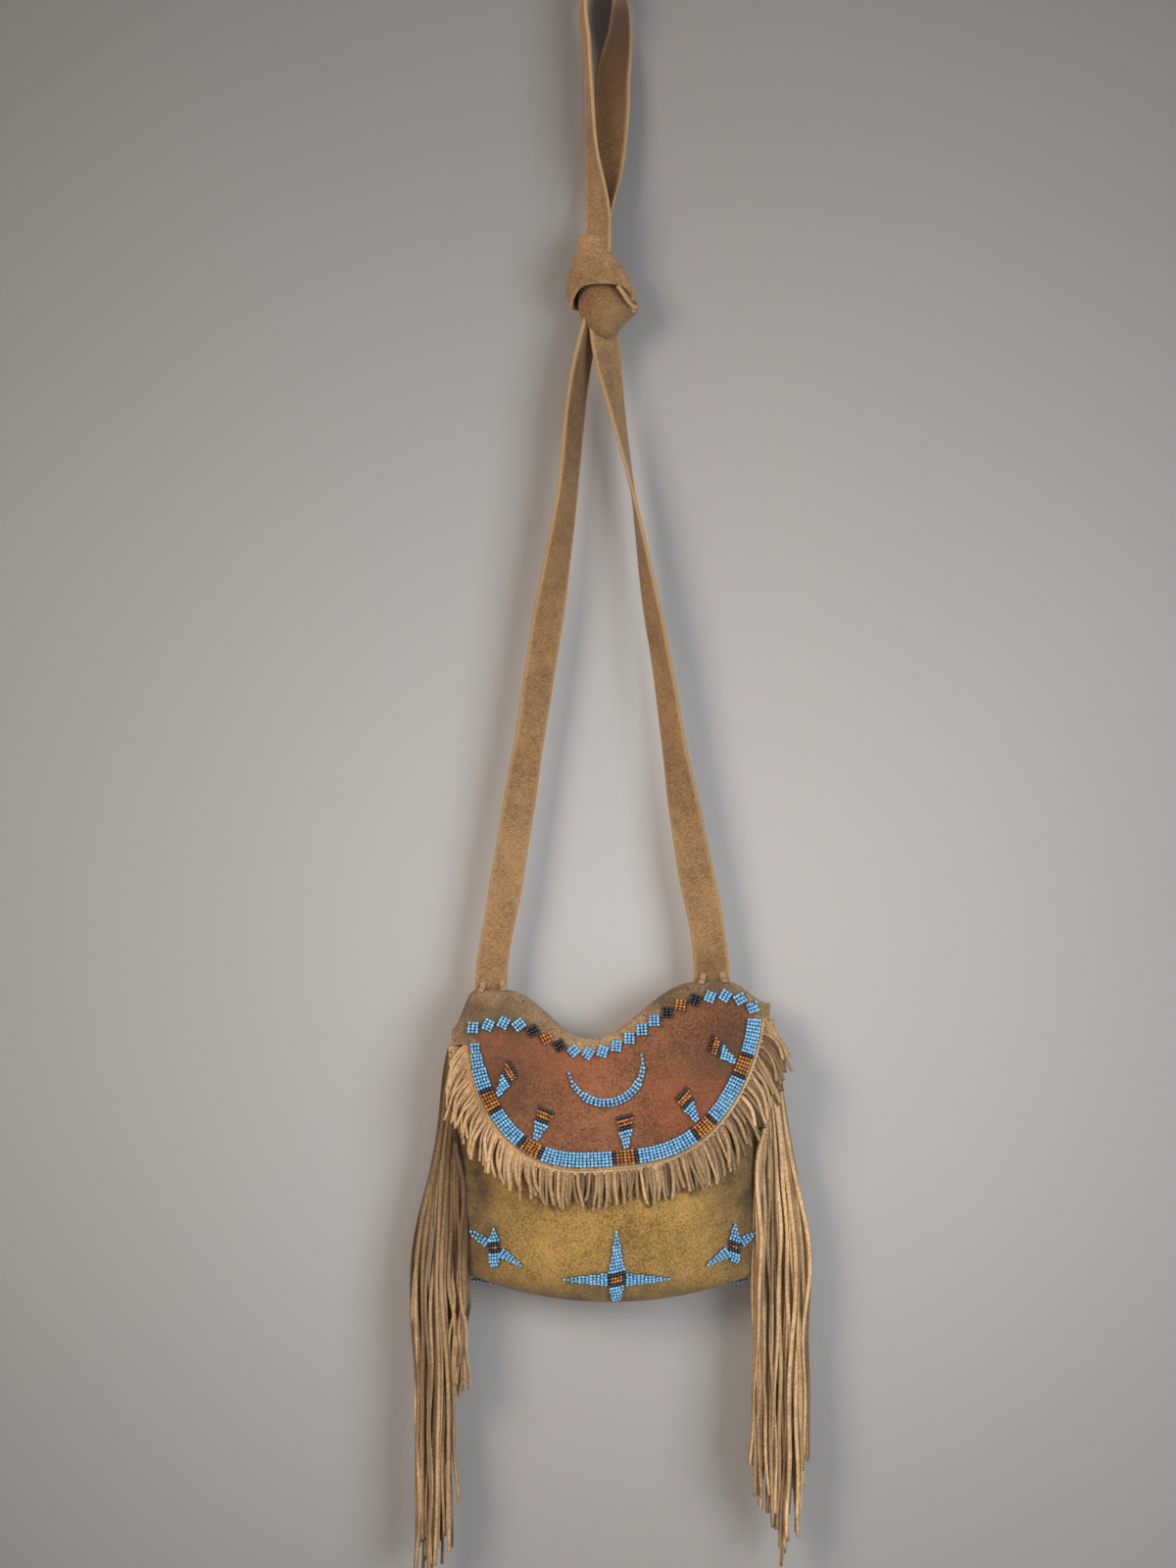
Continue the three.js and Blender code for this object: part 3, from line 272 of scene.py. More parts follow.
def hide_shell(middle: Array, thickness: float, values: dict[str, Array] | None = None) -> Body:
    """Sheet of hide: both faces half a thickness off a grid of points, with a half-round rim.

    Args:
        middle: grid of points in the middle of the hide, rows by columns.
        thickness: of the hide.
        values: a grid of values for each name.

    Returns:
        The closed body. Its value edge is 1 on the rim.
    """
    rows, columns = middle.shape[:2]
    down = np.gradient(middle, axis=0)
    along = np.gradient(middle, axis=1)
    normal = unit(np.cross(down, along))
    half = thickness / 2
    at = np.arange(rows * columns).reshape(rows, columns)
    rim = np.concatenate([at[0, :-1], at[:-1, -1], at[-1, :0:-1], at[:0:-1, 0]])
    outward = np.zeros_like(middle)
    outward[0] -= unit(down[0])
    outward[-1] += unit(down[-1])
    outward[:, 0] -= unit(along[:, 0])
    outward[:, -1] += unit(along[:, -1])
    flat_middle, flat_normal = middle.reshape(-1, 3), normal.reshape(-1, 3)
    rim_out = unit(outward.reshape(-1, 3)[rim])
    turns = np.pi * np.array([0.25, 0.5, 0.75])
    rings = (
        flat_middle[rim]
        + half * np.cos(turns)[:, None, None] * flat_normal[rim]
        + half * np.sin(turns)[:, None, None] * rim_out
    )
    count = rows * columns
    offset = half * flat_normal
    points = np.concatenate([flat_middle + offset, flat_middle - offset, rings.reshape(-1, 3)])
    quads = grid_quads(rows, columns)
    ring_at = 2 * count + np.arange(len(turns) * len(rim)).reshape(len(turns), len(rim))
    ladder = np.concatenate([rim[None], ring_at, (rim + count)[None]])
    spread = {
        name: np.concatenate([grid.ravel(), grid.ravel(), np.tile(grid.ravel()[rim], len(turns))])
        for name, grid in (values or {}).items()
    }
    spread["edge"] = np.concatenate([np.zeros(2 * count), np.ones(len(turns) * len(rim))])
    return Body(points, [quads, quads[:, ::-1] + count, ring_quads(ladder)], spread)


def rounded_section(count: int, squareness: float) -> Array:
    """Points round a section: sine and cosine, each raised to a power that squares the ring off.

    Args:
        count: number of points.
        squareness: the power, an ellipse at 1 and nearly a rectangle towards 0.

    Returns:
        Points as shares of the half width and the half thickness.
    """
    angle = 2 * np.pi * (np.arange(count) + 0.5) / count
    ring = together(np.cos(angle), np.sin(angle))
    return np.sign(ring) * np.abs(ring) ** squareness


def strips(path: Array, across: Array, width: Array, thickness: Array, section: Array, tint: Array) -> Body:
    """Flat strips carried along paths: middle + half width * across + half thickness * through.

    Args:
        path: middles, strips by stations by 3.
        across: rough direction of the width at each station.
        width: at each station.
        thickness: at each station.
        section: points round the section, as shares of the half width and half thickness.
        tint: a value for each whole strip.

    Returns:
        All strips in one body, with the values tint, edge, and down, the share of the length.
    """
    number, stations = path.shape[:2]
    tangent = unit(np.gradient(path, axis=1))
    across = unit(across - np.sum(across * tangent, axis=-1, keepdims=True) * tangent)
    through = np.cross(tangent, across)
    side = 0.5 * width[..., None, None] * section[:, 0, None] * across[:, :, None]
    face = 0.5 * thickness[..., None, None] * section[:, 1, None] * through[:, :, None]
    points = path[:, :, None] + side + face
    shape = (number, stations, len(section))
    at = np.arange(math.prod(shape)).reshape(shape)
    caps = np.concatenate([at[:, 0, ::-1], at[:, -1]])
    values = {
        "tint": np.broadcast_to(tint[:, None, None], shape).ravel(),
        "edge": np.broadcast_to(np.clip(np.abs(section[:, 0]) * 4 - 3, 0, 1), shape).ravel(),
        "down": np.broadcast_to(np.linspace(0, 1, stations)[None, :, None], shape).ravel(),
    }
    return Body(points.reshape(-1, 3), [ring_quads(at), caps], values)


def on_surface(surface: Surface, a: Array, b: Array, lift: Array | float) -> tuple[Array, Array]:
    """Points lifted off a surface along its normal, and the normals.

    Args:
        surface: function of two places.
        a: first place.
        b: second place.
        lift: height above the surface.

    Returns:
        The points and the unit normals, from central differences of the surface.
    """
    along_a = surface(a + SLOPE_STEP, b) - surface(a - SLOPE_STEP, b)
    along_b = surface(a, b + SLOPE_STEP) - surface(a, b - SLOPE_STEP)
    normal = unit(np.cross(along_a, along_b))
    return surface(a, b) + normal * np.asarray(lift)[..., None], normal


# The pouch's form


@dataclass(frozen=True)
class PouchForm:
    """Sizes of the pouch, and its surfaces as functions of two places."""

    hide: float = 1.6
    fringe_hide: float = 1.4
    seat_gap: float = 0.3
    flap_slack: float = 0.8
    slack_start: float = 25.0
    bag_x: float = 6.0
    back_y: float = 4.0
    strap_drop: float = 613.0
    bag_height: float = 194.5
    top_half: float = 97.0
    bottom_half: float = 88.0
    bottom_rise: float = 16.0
    seam_sag: float = 1.3
    belly: float = 26.0
    belly_level: float = 0.62
    belly_tuck: float = 0.3
    mouth_drop: float = 22.0
    left_hump_drop: float = 5.0
    dip_drop: float = 35.0
    dip_place: float = -0.134
    left_corner_drop: float = 29.0
    right_corner_drop: float = 13.0
    strap_places: tuple[float, float] = (-0.753, 0.639)
    strap_width: float = 19.0
    flap_drop: float = 81.0
    flap_corner: float = 4.0
    flap_flare: float = 0.55
    apron_insets: tuple[float, float] = (0.1, 0.045)
    diamond_span: tuple[float, float] = (-0.89, 0.93)
    diamond_drops: tuple[tuple[float, float], ...] = (
        (-0.89, 22.5),
        (-0.6, 19.7),
        (-0.13, 9),
        (0.4, 12.8),
        (0.7, 8.7),
        (0.9, 7.6),
    )
    flap_waves: tuple[Wave, ...] = ((0.5, 17, 41, 0), (0.35, -29, 13, 1.3))
    flap_dents: tuple[Spot, ...] = (
        (-45, -668, 9, 14, -0.9),
        (30, -672, 12, 10, -0.7),
        (62, -655, 9, 12, 0.8),
    )
    front_waves: tuple[Wave, ...] = ((0.45, 19, -37, 0), (0.3, 31, 11, 0))
    front_dents: tuple[Spot, ...] = (
        (-8, -745, 16, 16, -1.2),
        (-52, -760, 14, 20, 0.8),
        (44, -752, 18, 16, 0.7),
    )

    @property
    def hump_z(self) -> float:
        """Level of the right hump of the fold."""
        return -self.strap_drop

    @property
    def bottom_z(self) -> float:
        """Level of the belly's lowest point."""
        return self.hump_z - self.bag_height

    @property
    def seam_stack(self) -> float:
        """From the middle of the back's hide to the front's, at a side seam."""
        return self.hide + self.fringe_hide + 2 * self.seat_gap

    @property
    def fold_radius(self) -> float:
        """Radius of the roll at the top, in the middle of the hide."""
        flap_stack = self.seam_stack + self.flap_slack
        return (self.seam_stack + flap_stack) / 2

    def top_x(self, s: Array | float) -> Array:
        """Place across at a share of the top's half width."""
        return self.bag_x + s * self.top_half

    def crest_z(self, x: Array) -> Array:
        """Crest of the fold: half-cosine blends between corner, strap, dip, strap and corner.

        Args:
            x: place across. Beyond the corners the crest is level.

        Returns:
            The crest's level.
        """
        left, right = (self.top_x(place) for place in self.strap_places)
        half = self.strap_width / 2
        places = [self.top_x(-1), left - half, left + half, self.top_x(self.dip_place)]
        places += [right - half, right + half, self.top_x(1)]
        drops = [self.left_corner_drop, self.left_hump_drop, self.left_hump_drop, self.dip_drop]
        drops += [0.0, 0.0, self.right_corner_drop]
        stations = together(places, self.hump_z - np.array(drops))
        return through_stations(stations, x)

    def fold_axis_z(self, x: Array) -> Array:
        """Level of the roll's axis."""
        return self.crest_z(x) - self.hide / 2 - self.fold_radius

    def axis_z(self, s: Array) -> Array:
        """Level of the roll's axis at a share of the half width."""
        return self.fold_axis_z(self.top_x(np.asarray(s, dtype=float)))

    def low_z(self, s: Array) -> Array:
        """Lowest level of the belly: a parabola that rises to each side."""
        return self.bottom_z + self.bottom_rise * s**2

    def belly_z(self, s: Array) -> Array:
        """Level at which the belly is fullest."""
        return mix(self.axis_z(s), self.low_z(s), self.belly_level)

    def share_down(self, s: Array, z: Array) -> Array:
        """How far a level is down from the roll's axis to the belly's lowest level."""
        return (self.axis_z(s) - z) / (self.axis_z(s) - self.low_z(s))

    def half_width(self, s: Array, z: Array) -> Array:
        """Half width of the pouch at a level, straight from top to bottom."""
        return mix(self.top_half, self.bottom_half, np.clip(self.share_down(s, z), 0, 1))

    def swell(self, share: Array) -> Array:
        """Growth of the bulge down the pouch: a quarter sine wave to the power 1.2."""
        return np.sin(np.pi / 2 * np.clip(share / self.belly_level, 0, 1)) ** 1.2

    @staticmethod
    def pouch_ease(s: Array) -> Array:
        """How the front's bulge eases off towards the seams."""
        return (1 - np.minimum(np.abs(s), 1) ** 2.4) ** 0.75

    def flap_ease(self, s: Array) -> Array:
        """How the flap's bulge eases off by power curves: to nothing on the left, by part on the right."""
        right = 1 - self.flap_flare * np.clip(s, 0, 1) ** 2.5
        return np.where(s < 0, 1 - np.minimum(np.abs(s), 1) ** 5, right)

    def flap_depth(self, x: Array, z: Array) -> Array:
        """Depth of the flap in front of the back: the roll above its axis, the bulge below.

        Args:
            x: place across.
            z: level.

        Returns:
            Depth in the middle of the hide, with its slack fading in below the roll.
        """
        s = (x - self.bag_x) / self.top_half
        above = z - self.fold_axis_z(x)
        rise = np.clip(above / self.fold_radius, 0, 0.98)
        roll = self.fold_radius * (1 + np.sqrt(1 - rise**2))
        share = -above / (self.fold_axis_z(x) - self.low_z(np.clip(s, -1, 1)))
        hang = 2 * self.fold_radius + self.flap_ease(s) * self.belly * self.swell(share)
        slack = self.slack(x, z, self.flap_waves, self.flap_dents) * smooth(-above / self.slack_start)
        return np.where(above > 0, roll, hang + slack)

    @staticmethod
    def slack(x: Array, z: Array, waves: Sequence[Wave], dents: Sequence[Spot]) -> Array:
        """Slack of worn hide: height * sin(x / across + z / down + phase) for each wave, and dents."""
        slow = sum(high * np.sin(x / across + z / down + phase) for high, across, down, phase in waves)
        return slow + bump_at(x, z, dents)

    def flap(self, x: Array, z: Array) -> Array:
        """Middle of the flap's hide at a place across and a level."""
        return together(x, self.back_y - self.flap_depth(x, z), z)

    def flap_edge_z(self, s: Array) -> Array:
        """Lower edge of the flap: a rounded apron, set in at both ends of the roll.

        Args:
            s: share of the half width.

        Returns:
            Level of the edge: from the straight line between the corners, down by a power curve.
        """
        ends = self.axis_z(np.array([-1.0, 1.0]))
        corners = mix(ends[0], ends[1], (s + 1) / 2) - self.flap_corner
        reach = 1 - np.where(s < 0, *self.apron_insets)
        share = np.minimum(np.abs(s) / reach, 1)
        drop = np.where(s < 0, (1 - share**2.8) ** 0.62, (1 - share**3) ** 0.68)
        return corners - self.flap_drop * drop

    def diamond_z(self, x: Array) -> Array:
        """Level of the row of diamonds, where the rubbed field begins: a drop below the crest."""
        s = (x - self.bag_x) / self.top_half
        return self.crest_z(x) - through_stations(np.array(self.diamond_drops), s)

    def under_curve(self, s: Array) -> tuple[Array, Array, Array, Array]:
        """The front's lower curve, part of an ellipse from the belly line to the bottom seam.

        Args:
            s: share of the half width.

        Returns:
            Depth of the ellipse's middle, its reach, its fall and the angle at which it ends.
        """
        deepest = self.seam_stack + self.pouch_ease(s) * self.belly
        lowest = self.belly_tuck * deepest
        reach = deepest - lowest
        closed = self.hide + self.seat_gap
        end = np.arccos(np.clip((closed - lowest) / reach, -1, 1))
        return lowest, reach, self.belly_z(s) - self.low_z(s), end

    def under_point(self, s: Array, angle: Array) -> tuple[Array, Array]:
        """Depth and level on the lower curve, a quarter ellipse and more."""
        lowest, reach, fall, _ = self.under_curve(s)
        return lowest + reach * np.cos(angle), self.belly_z(s) - fall * np.sin(angle)

    def upper_point(self, s: Array, up: Array) -> tuple[Array, Array]:
        """Depth and level at a height above the belly line: the seam's depth and a bulge that grows down."""
        z = self.belly_z(s) + up
        return self.seam_stack + self.pouch_ease(s) * self.belly * self.swell(self.share_down(s, z)), z

    def under_angle(self, s: Array, distance: Array) -> Array:
        """Angle of the lower curve at a distance along the hide below the belly line.

        Args:
            s: share of the half width.
            distance: along the hide, downwards.

        Returns:
            The angle, from the summed lengths of 3 degree steps.
        """
        _, reach, fall, _ = self.under_curve(s)
        angle = np.radians(np.arange(0, 61) * 3.0)
        speed = np.hypot(reach[..., None] * np.sin(angle), fall[..., None] * np.cos(angle))
        walked = np.cumsum(speed[..., :-1], axis=-1) * (angle[1] - angle[0])
        walked = np.concatenate([np.zeros_like(walked[..., :1]), walked], axis=-1)
        wanted = np.maximum(distance, 0)[..., None]
        low = np.clip(np.sum(walked <= wanted, axis=-1, keepdims=True) - 1, 0, len(angle) - 2)
        start = np.take_along_axis(walked, low, axis=-1)
        step = np.take_along_axis(walked, low + 1, axis=-1) - start
        return (angle[1] * (low + (wanted - start) / np.maximum(step, TINY)))[..., 0]

    def front(self, x: Array, up: Array) -> Array:
        """Middle of the front's hide at a place across and a distance up from the belly line.

        Args:
            x: place across.
            up: distance along the hide, above or below the belly line.

        Returns:
            Points. The share of the half width is found in four passes, since it needs the level.
        """
        s = (x - self.bag_x) / self.bottom_half
        depth = z = s
        for _ in range(4):
            s = np.clip(s, -1, 1)
            upper = self.upper_point(s, np.maximum(up, 0))
            under = self.under_point(s, self.under_angle(s, -up))
            depth = np.where(up >= 0, upper[0], under[0])
            z = np.where(up >= 0, upper[1], under[1])
            s = (x - self.bag_x) / self.half_width(s, z)
        slack = self.slack(x, z, self.front_waves, self.front_dents)
        return together(x, self.back_y - depth - slack, z)

    def level_with(self, x: float, up: Array, other_x: Array) -> Array:
        """Distance up from the belly line at other places across, on the level of given ones.

        Args:
            x: place across of the given ones.
            up: their distance up.
            other_x: the other places across.

        Returns:
            Distances up, from four Newton steps.
        """
        level = self.front(np.full_like(up, x), up)[..., 2]
        place = up
        for _ in range(4):
            z = self.front(other_x, place)[..., 2]
            slope = (self.front(other_x, place + SLOPE_STEP)[..., 2] - z) / SLOPE_STEP
            place = place + (level - z) / slope
        return place

    def seam_z(self, s: Array) -> Array:
        """Level of the bottom seam."""
        return self.under_point(s, self.under_curve(s)[3])[1]

    def seam_rim(self, x: Array, forward: Array) -> Array:
        """Bottom seam as a surface that faces down, sagging a little towards its ends.

        Args:
            x: place across.
            forward: distance in front of the back.

        Returns:
            Points on the seam.
        """
        s = np.clip((x - self.bag_x) / self.bottom_half, -1, 1)
        sag = self.seam_sag * smooth((np.abs(s) - 0.5) / 0.25)
        return together(x, self.back_y - forward, self.seam_z(s) - sag)

    def edge_line(self, inward: float) -> "SurfaceLine":
        """The apron's edge, set in by a distance in the front view.

        Args:
            inward: distance from the edge, outside it where negative.

        Returns:
            The line, with its points crowded towards both ends.
        """
        share = -np.cos(np.pi * np.linspace(0, 1, 321))[1:-1]
        s = share * (1 - np.where(share < 0, *self.apron_insets))
        edge = together(self.top_x(s), self.flap_edge_z(s))
        ahead = unit(np.gradient(edge, axis=0))
        return SurfaceLine(self.flap, edge + inward * together(-ahead[:, 1], ahead[:, 0]))


class SurfaceLine:
    """A line of places on a surface, measured along the surface."""

    def __init__(self, surface: Surface, places: Array) -> None:
        """Measures the line.

        Args:
            surface: function of two places.
            places: rows of two places along the line.
        """
        points = surface(places[:, 0], places[:, 1])
        gaps = np.linalg.norm(np.diff(points, axis=0), axis=-1)
        self.places = places
        self.lengths = np.concatenate([[0.0], np.cumsum(gaps)])

    @property
    def length(self) -> float:
        """The whole length."""
        return float(self.lengths[-1])

    def at(self, distance: Array) -> tuple[Array, Array, Array]:
        """Reads the line by straight blends between its points.

        Args:
            distance: along the line.

        Returns:
            First place, second place and unit direction at each distance.
        """
        a, b = (np.interp(distance, self.lengths, self.places[:, axis]) for axis in (0, 1))
        slope = np.gradient(self.places, self.lengths, axis=0)
        lean = np.stack([np.interp(distance, self.lengths, slope[:, axis]) for axis in (0, 1)], axis=-1)
        return a, b, unit(lean)


# Shader building


class Wire:
    """A value in a node tree that takes part in Python sums."""

    def __init__(self, shader: "Shader", socket: bpy.types.NodeSocket) -> None:
        """Keeps the socket and its tree."""
        self.shader = shader
        self.socket = socket

    def _math(self, operation: str, first: "Wire | float", second: "Wire | float") -> "Wire":
        """A Math node on two values."""
        return self.shader.wire(0, "ShaderNodeMath", {"operation": operation}, {0: first, 1: second})

    def __add__(self, other: "Wire | float") -> "Wire":
        """Sum."""
        return self._math("ADD", self, other)

    def __radd__(self, other: float) -> "Wire":
        """Sum, the number first."""
        return self._math("ADD", other, self)

    def __sub__(self, other: "Wire | float") -> "Wire":
        """Difference."""
        return self._math("SUBTRACT", self, other)

    def __rsub__(self, other: float) -> "Wire":
        """Difference, the number first."""
        return self._math("SUBTRACT", other, self)

    def __mul__(self, other: "Wire | float") -> "Wire":
        """Product."""
        return self._math("MULTIPLY", self, other)

    def __rmul__(self, other: float) -> "Wire":
        """Product, the number first."""
        return self._math("MULTIPLY", other, self)

    def up_to(self, limit: float) -> "Wire":
        """The value, bent softly so that it stays below a limit."""
        return self._math("SMOOTH_MIN", self, limit)


Socket = Wire | bpy.types.NodeSocket | float | Colour | Place
Settings = dict[str, object]
Sockets = dict[str | int, Socket]


class Shader:
    """Node tree of one material."""

    def __init__(self, name: str) -> None:
        """Makes an empty material.

        Args:
            name: the material's name.
        """
        self.material = bpy.data.materials.new(name)
        self.material.use_nodes = True
        self.tree = self.material.node_tree
        self.tree.nodes.clear()
        self.place = self.node("ShaderNodeTexCoord").outputs["Object"]

    def node(
        self,
        kind: str,
        settings: Settings | None = None,
        sockets: Sockets | None = None,
    ) -> bpy.types.Node:
        """A new node.

        Args:
            kind: the node's type.
            settings: its properties, set first.
            sockets: values or links of its inputs.

        Returns:
            The node.
        """
        made = self.tree.nodes.new(kind)
        for name, value in (settings or {}).items():
            setattr(made, name, value)
        for name, value in (sockets or {}).items():
            source = value.socket if isinstance(value, Wire) else value
            if isinstance(source, bpy.types.NodeSocket):
                self.tree.links.new(source, made.inputs[name])
            else:
                made.inputs[name].default_value = source
        return made

    def wire(self, output: str | int, kind: str, settings: Settings, sockets: Sockets) -> Wire:
        """One output of a new node, for sums."""
        return Wire(self, self.node(kind, settings, sockets).outputs[output])

    def noise(self, scale: float, detail: float, rough: float, stretch: Place = (1, 1, 1)) -> Wire:
        """Noise over the object.

        Args:
            scale: waves per metre.
            detail: number of finer layers.
            rough: strength of each finer layer.
            stretch: factor of the scale along each axis.

        Returns:
            The noise, from 0 to 1.
        """
        mapping = self.node("ShaderNodeMapping", {}, {"Vector": self.place, "Scale": stretch})
        sockets = {"Vector": mapping.outputs[0], "Scale": scale, "Detail": detail, "Roughness": rough}
        return self.wire("Fac", "ShaderNodeTexNoise", {}, sockets)

    def value(self, name: str) -> Wire:
        """A value that the mesh carries at its points."""
        return self.wire("Fac", "ShaderNodeAttribute", {"attribute_name": name}, {})

    def band(self, value: Wire, low: float, high: float) -> Wire:
        """Smooth step of a value from 0 at low to 1 at high."""
        sockets = {"Value": value, "From Min": low, "From Max": high}
        return self.wire(0, "ShaderNodeMapRange", {"interpolation_type": "SMOOTHSTEP"}, sockets)

    def blend(self, share: Wire | float, first: Socket, second: Socket) -> Wire:
        """Two colours mixed by a share."""
        settings = {"data_type": "RGBA", "clamp_factor": True}
        return self.wire(2, "ShaderNodeMix", settings, {0: share, 6: first, 7: second})

    def bump(self, height: Wire, strength: float, distance: float) -> Wire:
        """Normal of a height field, the distance being its full height in metres."""
        sockets = {"Height": height, "Strength": strength, "Distance": distance}
        return self.wire(0, "ShaderNodeBump", {}, sockets)

    def finish(self, sockets: Sockets) -> Material:
        """Ends the tree in a Principled shader.

        Args:
            sockets: values or links of its inputs.

        Returns:
            The material.
        """
        surface = self.node("ShaderNodeBsdfPrincipled", {}, sockets)
        self.node("ShaderNodeOutputMaterial", {}, {"Surface": surface.outputs[0]})
        return self.material


# Finishes


@dataclass(frozen=True)
class Suede:
    """Soft tanned hide: nap, mottling, grimy patches, painted shade by strip, and cut edges, pale on most
    hides and dark on the fringe as painted shade between thongs.
    """

    name: str
    dark: Colour
    light: Colour
    cut_edge_and_gap_shade: Colour
    grime_and_shade_tone: Colour = tone(72, 56, 41)
    shade_tone: Colour = tone(88, 60, 36)
    nap: float = 0.5
    grime_share: float = 0.35
    tint_share: float = 0.62
    shade_share: float = 0.85
    edge_share: float = 0.75
    grain: float = 780.0
    stretch: Place = (1.0, 1.0, 1.0)

    def hide_colour(self, shader: Shader, dark: Colour, light: Colour) -> Wire:
        """Mottled and speckled colour: three noises summed and stepped between two colours.

        Args:
            shader: the material's tree.
            dark: darkest colour.
            light: lightest colour.

        Returns:
            The colour.
        """
        mottle = shader.noise(26, 3, 0.55)
        patch = shader.noise(130, 2, 0.5)
        speckle = shader.noise(self.grain, 2, 0.65, self.stretch)
        share = shader.band(0.3 * mottle + 0.14 * patch + 0.56 * speckle, 0.34, 0.66)
        return shader.blend(share, dark, light)

    def nap_normal(self, shader: Shader) -> Wire:
        """The nap, a bumped normal: fine fibres over soft pebbles."""
        height = 0.45 * shader.noise(1700, 2, 0.6) + 0.55 * shader.noise(420, 3, 0.55)
        return shader.bump(height, self.nap, 0.0011)

    def surface(self, shader: Shader, colour: Wire) -> Material:
        """Ends a hide's tree: its cut edges (pale on most hides, dark on the fringe as painted shade between
        thongs), a matt surface with a faint sheen, and its nap.

        Args:
            shader: the material's tree.
            colour: of the hide's faces.

        Returns:
            The material.
        """
        edge = self.edge_share * shader.value("edge")
        return shader.finish(
            {
                "Base Color": shader.blend(edge, colour, self.cut_edge_and_gap_shade),
                "Roughness": 0.94,
                "Specular IOR Level": 0.18,
                "Sheen Weight": 0.12,
                "Sheen Roughness": 0.6,
                "Normal": self.nap_normal(shader),
            }
        )

    def dress(self) -> Material:
        """Makes the material of a plain hide: tinted and given painted shade by strip, then given wear and
        grimy patches.

        Returns:
            The material.
        """
        shader = Shader(self.name)
        colour = self.hide_colour(shader, self.dark, self.light)
        # The tint darkens towards grime_and_shade_tone: at random per strip, and on the fringes also as
        # painted shade that depends on the side.
        colour = shader.blend(self.tint_share * shader.value("tint"), colour, self.grime_and_shade_tone)
        # Painted shade: the value shade darkens towards shade_tone, for thongs behind others, the loop's
        # turned face and the knot's lower turn.
        colour = shader.blend(self.shade_share * shader.value("shade"), colour, self.shade_tone)
        wear = shader.band(shader.noise(22, 3, 0.65), 0.52, 0.78)
        colour = shader.blend(self.grime_share * wear, colour, self.grime_and_shade_tone)
        return self.surface(shader, colour)


@dataclass(frozen=True)
class RubbedSuede(Suede):
    """Hide with earth colour rubbed into a field of it, and darker spots: hand soiling along the fold, and
    painted shadow on the front.
    """

    edge_share: float = 0.6
    paint_dark: Colour = tone(88, 53, 34)
    paint_light: Colour = tone(158, 101, 67)
    paint_warm: Colour = tone(158, 82, 50)
    warmth: float = 0.35
    ragged: float = 0.35

    def dress(self) -> Material:
        """Makes the material of a hide with a painted field, ragged at its border, and darker spots of
        soiling and painted shade.

        Returns:
            The material.
        """
        shader = Shader(self.name)
        bare = self.hide_colour(shader, self.dark, self.light)
        rubbed = self.hide_colour(shader, self.paint_dark, self.paint_light)
        warm = shader.band(shader.noise(17, 2, 0.5), 0.42, 0.66)
        rubbed = shader.blend(self.warmth * warm, rubbed, self.paint_warm)
        painted = shader.value("paint") + self.ragged * (shader.noise(300, 3, 0.6) - 0.5)
        colour = shader.blend(shader.band(painted, 0.35, 0.65), bare, rubbed)
        uneven = 0.5 + 0.5 * shader.band(shader.noise(60, 3, 0.6), 0.25, 0.75)
        # The value smudge darkens towards grime_and_shade_tone: hand soiling on the flap, and painted shadow
        # with soiling on the front.
        colour = shader.blend(shader.value("smudge") * uneven, colour, self.grime_and_shade_tone)
        return self.surface(shader, colour)


@dataclass(frozen=True)
class Glass:
    """Seed-bead glass: each bead a little lighter or darker, rougher in dusty patches, with painted shade at
    its ends and underneath.
    """

    name: str
    dark: Colour
    light: Colour
    roughness: float = 0.22
    coat: float = 0.5
    gap_shade: Colour = tone(24, 28, 36)

    def dress(self) -> Material:
        """Makes the material of a string of beads.

        Returns:
            The material.
        """
        shader = Shader(self.name)
        colour = shader.blend(shader.value("tint"), self.dark, self.light)
        # Painted shade: each bead's ends and underside darken towards gap_shade, for the shade between
        # beads.
        painted_shade = shader.band(shader.value("hole"), 0.36, 0.92)
        dust = shader.band(shader.noise(500, 2, 0.6), 0.55, 0.8)
        return shader.finish(
            {
                "Base Color": shader.blend(0.93 * painted_shade, colour, self.gap_shade),
                "Roughness": self.roughness + 0.25 * dust,
                "Coat Weight": self.coat,
                "Coat Roughness": 0.1,
            }
        )


@dataclass(frozen=True)
class Wardrobe:
    """Every finish of the bag, made once."""

    flap: Material
    front: Material
    fringe: Material
    strap: Material
    lace: Material
    beads: dict[Bead, Material]

    @staticmethod
    def open() -> "Wardrobe":
        """Makes all finishes.

        Returns:
            The wardrobe.
        """
        bare_dark, bare_light = tone(114, 85, 57), tone(190, 153, 114)
        pale = tone(205, 174, 134)
        return Wardrobe(
            flap=RubbedSuede("rubbed_red_hide", bare_dark, bare_light, pale).dress(),
            front=RubbedSuede(
                "rubbed_ochre_hide",
                bare_dark,
                bare_light,
                pale,
                paint_dark=tone(112, 83, 41),
                paint_light=tone(188, 146, 79),
                warmth=0.0,
            ).dress(),
            fringe=Suede(
                "fringe_hide",
                tone(176, 134, 90),
                tone(240, 196, 144),
                # Painted shade: the fringe's thong edges are dark, for the shade in the gaps between thongs.
                tone(70, 47, 26),
                shade_tone=tone(58, 38, 22),
            ).dress(),
            strap=Suede(
                "strap_hide",
                tone(112, 81, 50),
                tone(170, 131, 88),
                tone(172, 136, 91),
                shade_tone=tone(80, 52, 27),
                grain=980.0,
                stretch=(0.55, 0.55, 1.5),
            ).dress(),
            lace=Suede("lace_hide", tone(138, 108, 75), tone(188, 154, 115), tone(192, 160, 122)).dress(),
            beads={
                Bead.BLUE: Glass("blue_glass", tone(96, 160, 204), tone(142, 200, 234)).dress(),
                Bead.BLACK: Glass("black_glass", tone(12, 12, 18), tone(34, 36, 48)).dress(),
                Bead.AMBER: Glass("amber_glass", tone(122, 62, 13), tone(206, 128, 46), 0.18, 0.7).dress(),
            },
        )


# Sub-assemblies


@dataclass
class SubAssembly:
    """A part of the bag: its places come from the pouch's form, its looks from the wardrobe."""

    form: PouchForm
    wardrobe: Wardrobe


